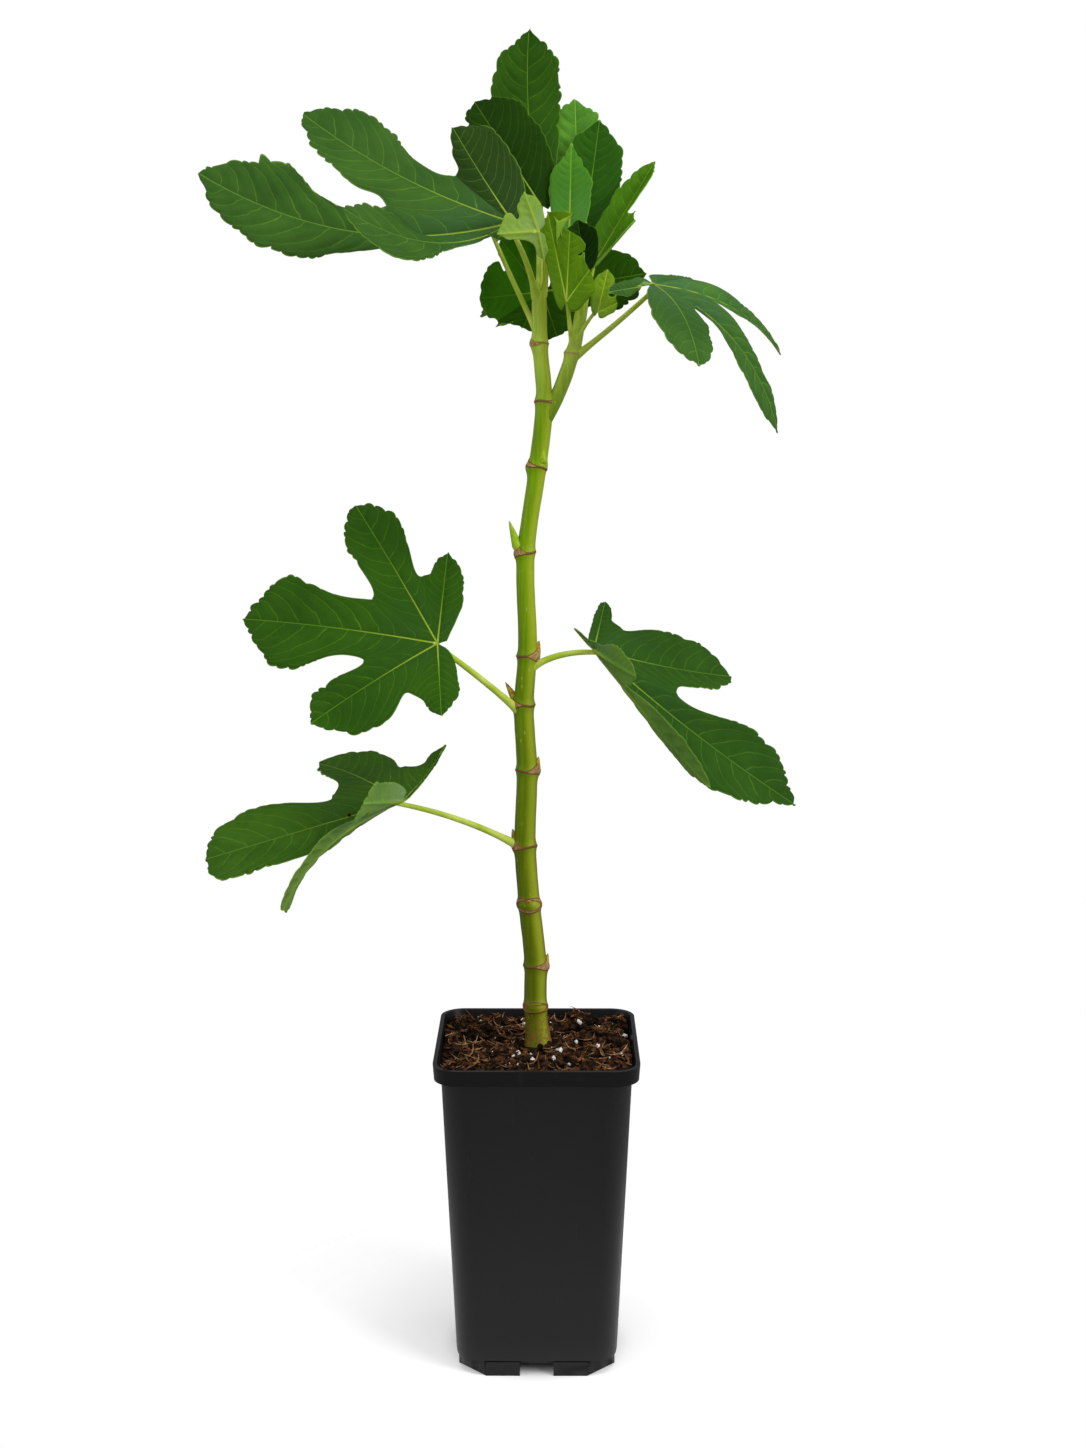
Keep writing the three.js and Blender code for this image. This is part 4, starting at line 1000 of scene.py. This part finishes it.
def lobe_grid(bm, layers, leaf, lobes, i, seed):
    """Adds one lobe's sheet: rows run from the joint to the tip, columns from edge to edge."""
    lobe = lobes[i]
    depth = min(1.5, 0.026 * lobe.wide + 0.3)
    steps = max(6, ceil(0.6 * lobe.long / ROW_STEP))
    rows = INNER_ROWS + 2 * steps
    inner = np.linspace(0, 1, INNER_ROWS, endpoint=False)[:, None]
    gaps, edges, waves = [], {}, {}
    for side in (-1, 1):
        gap = sinus(leaf, lobes, i, side)
        gaps.append(np.linalg.norm(gap) if 0 <= i + side < len(lobes) else lobe.long / 4)
        curve = half_outline(leaf, lobes, i, side, steps)
        edges[side] = np.concatenate([gap * inner, curve])
        torn = lobe.torn if lobe.torn[0] == side else (0, 0, 0)
        move = side * teeth(curve, seed + side, depth, torn)
        waves[side] = np.concatenate([np.zeros((INNER_ROWS, 2)), move])
    web = min(0.4 * sum(gaps), 0.45 * lobe.long)
    reach = np.concatenate([web * inner[:, 0], np.linspace(web, lobe.long, 2 * steps + 1)])
    middle = np.outer(reach, lobe.axis)
    columns = HALF_COLUMNS if lobe.wide > 18 else HALF_COLUMNS // 2
    seam = step((np.arange(rows + 1) - INNER_ROWS) / 6)
    kept = {}

    def place(across, row):
        u = np.sign(across - 0.5) * np.abs(2 * across - 1) ** MIDRIB_CROWD
        side = (u > 0)[:, None]
        edge = np.where(side, edges[1][row], edges[-1][row])
        wave = np.where(side, waves[1][row], waves[-1][row])
        share = np.abs(u)[:, None]
        flat = middle[row] * (1 - share) + edge * share + wave * share ** 4
        points, up = place_on_blade(leaf, lobes, i, flat)
        s = flat @ lobe.axis
        d = flat @ lobe.cross
        spacing = np.clip(lobe.long / 10, 5, 12.5)
        phase = (s - 0.42 * np.abs(d) - 0.026 * d * d) / spacing - 0.8 * share[:, 0] ** 6 + 0.3 * (d > 0)
        phase += 0.16 * np.sin(0.9 * s / spacing + seed)
        swell = step(np.abs(d) / (0.16 * lobe.wide)) * (1 - share[:, 0] ** 4) * step(s / 18)
        puff = PUFF * spacing * np.sin(pi * phase) ** 2 * swell
        flow = np.sin(s / (0.09 * lobe.long + 4) + seed + 2 * (d > 0)) * share[:, 0] ** 2 * seam[row]
        ripple = 0.022 * lobe.wide * lobe.wavy * flow
        groove = 0.35 * np.exp(-(d / 1.1) ** 2) * step(s / 6)
        kept.update(s=s, d=d, phase=phase, t=s / lobe.long, share=share[:, 0], row=row)
        return points + up * (puff + ripple - groove)[:, None]

    verts = laid_grid(bm, 2 * columns, rows, place)
    s, d, phase, t, share, row = kept.values()
    rib = 0.9 * np.exp(-(d / (1.3 - 0.7 * np.clip(t, 0, 1))) ** 2) * (1 - 0.6 * t)
    side_rib = 0.22 * np.cos(pi * phase) ** 8 * step(np.abs(d) / 2) * (1 - share ** 3)
    thick = np.clip(0.32 + rib + side_rib, 0.1, 1)
    edge_share = np.where(row > INNER_ROWS, share, 0)
    number_of = {vert: k for k, vert in enumerate(verts)}
    for vert, k in number_of.items():
        vert[layers["thick"]][0] = float(thick[k])
    for face in {face for vert in verts for face in vert.link_faces}:
        for loop in face.loops:
            k = number_of[loop.vert]
            loop[layers["blade"]].uv = (s[k] / UV_SPAN, d[k] / UV_SPAN)
            loop[layers["veins"]].uv = (phase[k], t[k])
            # The edge map's second coordinate carries the lobe's painted light or shade.
            loop[layers["edge"]].uv = (edge_share[k], lobe.shade)


def leaf_finish(name, tint, vein, face, dead=None):
    """A leaf's skin: its colour in soft clouds, paler veins by the blade's own maps, and a fine
    net between them, with a cool painted sheen near the joint, a band of painted shade beside the
    midrib, and each lobe's painted light or shade. face is 1 for the upper side and 0 for the paler
    underside; dead is the place of a small brown spot, if the leaf has one."""
    finish = Finish(name)
    spot = finish.place()
    blade, veins, edge = (finish.node("UVMap", {"uv_map": key}) for key in ("blade", "veins", "edge"))
    phase, t = veins.part("X"), veins.part("Y")
    off = abs(blade.part("Y")) * UV_SPAN
    wander = (blade.noise(9, 3, 0.6) - 0.5) * 0.5
    half = finish.maths("MAXIMUM", 0.64 - t * 0.7, 0.2) * (1 if face else 1.35)
    rib = 1 - (off / half).ease(0.6, 1.2)
    near = abs(finish.maths("FRACT", phase + wander + 0.5) - 0.5)
    side_rib = (1 - near.ease(0.008, 0.036)) * off.ease(0.2, 1.0) * (1 - t.ease(0.9, 0.99))
    bent = finish.vector("ADD", {0: blade, 1: blade.noise(40, output="Color")})

    def meshes(scale, width):
        sockets = {"Vector": bent, "Scale": scale}
        return 1 - finish.node("TexVoronoi", {"feature": "DISTANCE_TO_EDGE"}, sockets).ease(0.0, width)

    def tinted(*shares):
        return tuple(c * share for c, share in zip(tint, shares)) + (1,)

    net, fine_net = meshes(26, 0.07), meshes(74, 0.16)
    cloud = spot.noise(26, 4, 0.6).ease(0.3, 0.72)
    grain = spot.noise(1300, 3, 0.7)
    deep = tinted(0.5, 0.62, 0.5)
    finish.colour = finish.mix(cloud * 0.75 + (grain - 0.5) * 0.9, deep, tinted(1.06, 1.04, 0.75))
    # Painted sheen: a cool, bluish tint near the joint, where light reflects off the blade.
    painted_sheen = 1 - (t + (cloud - 0.5) * 0.3).ease(0.05, 0.55)
    finish.coat(painted_sheen * 0.55, tinted(0.85, 0.85, 1.7))
    # Painted shade: a darker band on each side of the midrib, beside the raised vein.
    beside = off.ease(0.3, 1.2) * (1 - off.ease(1.2, 5))
    finish.coat(beside * 0.3, deep)
    # Painted light and shade: each lobe's colour is scaled by its shade factor, lighter or darker as the
    # lobe is lit.
    finish.colour = finish.vector("SCALE", {0: finish.colour, "Scale": edge.part("Y")})
    finish.coat(edge.part("X").ease(0.965, 0.99) * 0.55, vein)
    finish.coat(fine_net * 0.1 + net * 0.14, vein)
    finish.coat(side_rib * (cloud * 0.26 + 0.26 if face else 0.6), vein)
    finish.coat(rib * 0.9, finish.mix(t.ease(0.05, 0.6), paint(168, 192, 62), vein))
    if dead:
        dead = [c * MM for c in dead]
        away = finish.vector("DISTANCE", {0: spot, 1: dead}, "Value") + (grain - 0.5) * 0.001
        finish.coat(1 - away.ease(0.0012, 0.0021), paint(96, 78, 30))
        finish.coat(1 - away.ease(0.0006, 0.0014), paint(24, 16, 8))
    relief = (rib + side_rib * 0.7 + net * 0.35 + fine_net * 0.16) * (-1 if face else 1) + grain * 0.3
    rough = (0.5 if face else 0.62) + cloud * 0.08 - rib * 0.06
    return finish.surface(rough, 0.05, relief, 0.6, 0.0007)


def tube(bm, centres, radius):
    """Adds a closed round stalk along centres, with its radius at each."""
    tangents = unit(np.gradient(centres, axis=0))
    side = unit(np.cross(tangents, [0.05, 0.9, 0.1]))
    over = np.cross(side, tangents)

    def place(across, row):
        angle = (across * tau)[:, None]
        return centres[row] + (side[row] * np.cos(angle) + over[row] * np.sin(angle)) * radius[row][:, None]

    closed_round(bm, laid_grid(bm, STALK_SIDES, len(centres) - 1, place))


def stalk_line(leaf, lobes):
    """The stalk's own line, from inside the stem that bears it to under the foot of the blade."""
    z, rise, _ = leaf["stalk"]
    start = leaf["bearer"](np.array(float(z))) + np.array([*leaf["shift"], 0])
    joint = np.array(leaf["joint"], float)
    chord = joint - start
    outward = leaf["outward"]
    if outward is None:
        outward = degrees(atan2(chord[1], chord[0]))
    main = next((lobe for lobe in lobes if lobe.at == 0), lobes[-1])
    vein = unit(main.along * main.long + main.up * 4 * main.bow + main.side * 4 * main.sweep)
    end = joint + vein * 3 - main.up * 1.1
    bend = start + direction(outward, rise) * np.linalg.norm(chord) / 2
    t = np.linspace(0, 1, 36)[:, None]
    return start * (1 - t) ** 2 + 2 * bend * t * (1 - t) + end * t * t


stalk_skin = Finish("leaf_stalk")
spot = stalk_skin.place()
cloud = spot.noise(60, 3, 0.6).ease(0.35, 0.68)
streak = spot.noise(240)
stalk_skin.colour = stalk_skin.mix(cloud, paint(172, 200, 50), paint(208, 224, 98))
stalk_skin.surface(0.42 + streak * 0.12, 0.15, streak, 0.15, 0.0003)
for number, (name, leaf) in enumerate(leaves.items()):
    vein = [min(255, round(c * f + a)) for c, f, a in zip(leaf["tint"], (0.9, 0.8, 0.7), (70, 88, 28))]
    under = [round(c * 0.62 + a) for c, a in zip(leaf["tint"], leaf["under"])]
    tint, vein, under = paint(*leaf["tint"]), paint(*vein), paint(*under)
    lobes = ready_lobes(leaf)
    bm = bmesh.new()
    layers = {key: bm.loops.layers.uv.new(key) for key in ("blade", "veins", "edge")}
    layers["thick"] = bm.verts.layers.deform.verify()
    for i in range(len(lobes)):
        lobe_grid(bm, layers, leaf, lobes, i, number * 1.7 + i)
    bmesh.ops.remove_doubles(bm, verts=bm.verts, dist=0.02)
    bmesh.ops.dissolve_degenerate(bm, edges=bm.edges, dist=0.001)
    bmesh.ops.reverse_faces(bm, faces=bm.faces)
    skins = [
        leaf_finish(name + "_upper", tint, vein, 1, leaf["spot"]),
        leaf_finish(name + "_under", under, vein, 0),
    ]
    blade_piece = finished(name + "_blade", bm, skins, smooth=180)
    blade_piece.vertex_groups.new(name="thick")
    long = max(lobe.long for lobe in lobes)
    fitted(
        blade_piece, "SOLIDIFY", thickness=BLADE_THICK * MM * min(1, 0.4 + long / 150), offset=-1,
        vertex_group="thick", thickness_vertex_group=0.02, material_offset=1, material_offset_rim=1)
    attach(blade_piece, "root")
    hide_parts(name)
    bm = bmesh.new()
    line = stalk_line(leaf, lobes)
    share = np.linspace(0, 1, len(line))
    tube(bm, line, leaf["stalk"][2] * (1 - 0.34 * share + 0.5 * np.exp(-(share / 0.15) ** 2)))
    stalk_piece = finished(name + "_stalk", bm, [stalk_skin.material], smooth=60)
    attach(stalk_piece, "root")

# ---- Studio ----
# A plain white floor under soft light: one large overhead softbox, a smaller one at each side of
# the camera, and a pale surround. The floor glows evenly, and round the pot's foot its glow is
# dimmed as a painted contact shadow.
FLOOR_RADIUS = 9000
AMBIENT = 0.36
LIT_MIDDLE = Vector((0, 0, 0.45))
CAMERA_PLACE = (0.0089, -1.2556, 0.624)
CAMERA_DROP = 9.43
CAMERA_SWING = 0.23
floor = bmesh.new()
bmesh.ops.create_circle(floor, cap_ends=True, segments=96, radius=FLOOR_RADIUS)
ground = Finish("studio_floor")
away = ground.vector("LENGTH", {0: ground.place()}, "Value")
# Painted shadow: the floor's glow dims to 0.9 within 7 cm of the pot's axis and to nothing within 3.5 cm,
# under the foot.
glow_and_painted_shadow = ground.mix(away.ease(0.07, 0.16), (0.9, 0.9, 0.9, 1), (1, 1, 1, 1))
glow_and_painted_shadow = ground.mix(away.ease(0.035, 0.066), (0, 0, 0, 1), glow_and_painted_shadow)
white = ground.node("BsdfPrincipled", {}, {
    "Base Color": (0.86, 0.86, 0.86, 1), "Roughness": 0.9, "Specular IOR Level": 0.0,
    "Emission Color": glow_and_painted_shadow, "Emission Strength": 0.44})
clear = ground.node("BsdfTransparent", {}, {"Color": (1, 1, 1, 1)})
fading = ground.node("MixShader", {}, {0: away.ease(0.11, 0.28), 1: white, 2: clear})
ground.node("OutputMaterial", {}, {"Surface": fading})
floor_piece = finished("studio_floor", floor, [ground.material])


def hung(name, made, place, angles):
    """Puts a light or a camera in the scene."""
    item = bpy.data.objects.new(name, made)
    item.location = place
    item.rotation_euler = angles
    bpy.context.scene.collection.objects.link(item)
    return item


def softbox(name, place, size, power):
    """A square area light that faces the middle of the plant."""
    light = bpy.data.lights.new(name, "AREA")
    light.size = size
    light.energy = power
    hung(name, light, place, (LIT_MIDDLE - Vector(place)).to_track_quat("-Z", "Y").to_euler())


softbox("overhead", (0.2, -0.6, 2.4), 2.2, 27)
softbox("right_side", (1.6, -1.3, 1.4), 1.0, 24)
softbox("left_side", (-2.1, -0.7, 1.1), 1.5, 12)

scene = bpy.context.scene
sky = Finish("studio", "worlds")
seen = sky.node("Background", {}, {"Color": (1, 1, 1, 1)})
ambient = sky.node("Background", {}, {"Color": (AMBIENT, AMBIENT, AMBIENT, 1)})
straight = sky.node("LightPath", output="Is Camera Ray")
sky.node("OutputWorld", {}, {"Surface": sky.node("MixShader", {}, {0: straight, 1: ambient, 2: seen})})
scene.world = sky.material

lens = bpy.data.cameras.new("camera")
lens.lens = 50.05
lens.sensor_width = 36
look = (radians(90 - CAMERA_DROP), 0, radians(CAMERA_SWING))
scene.camera = hung("camera", lens, CAMERA_PLACE, look)
scene.view_settings.view_transform = "Standard"
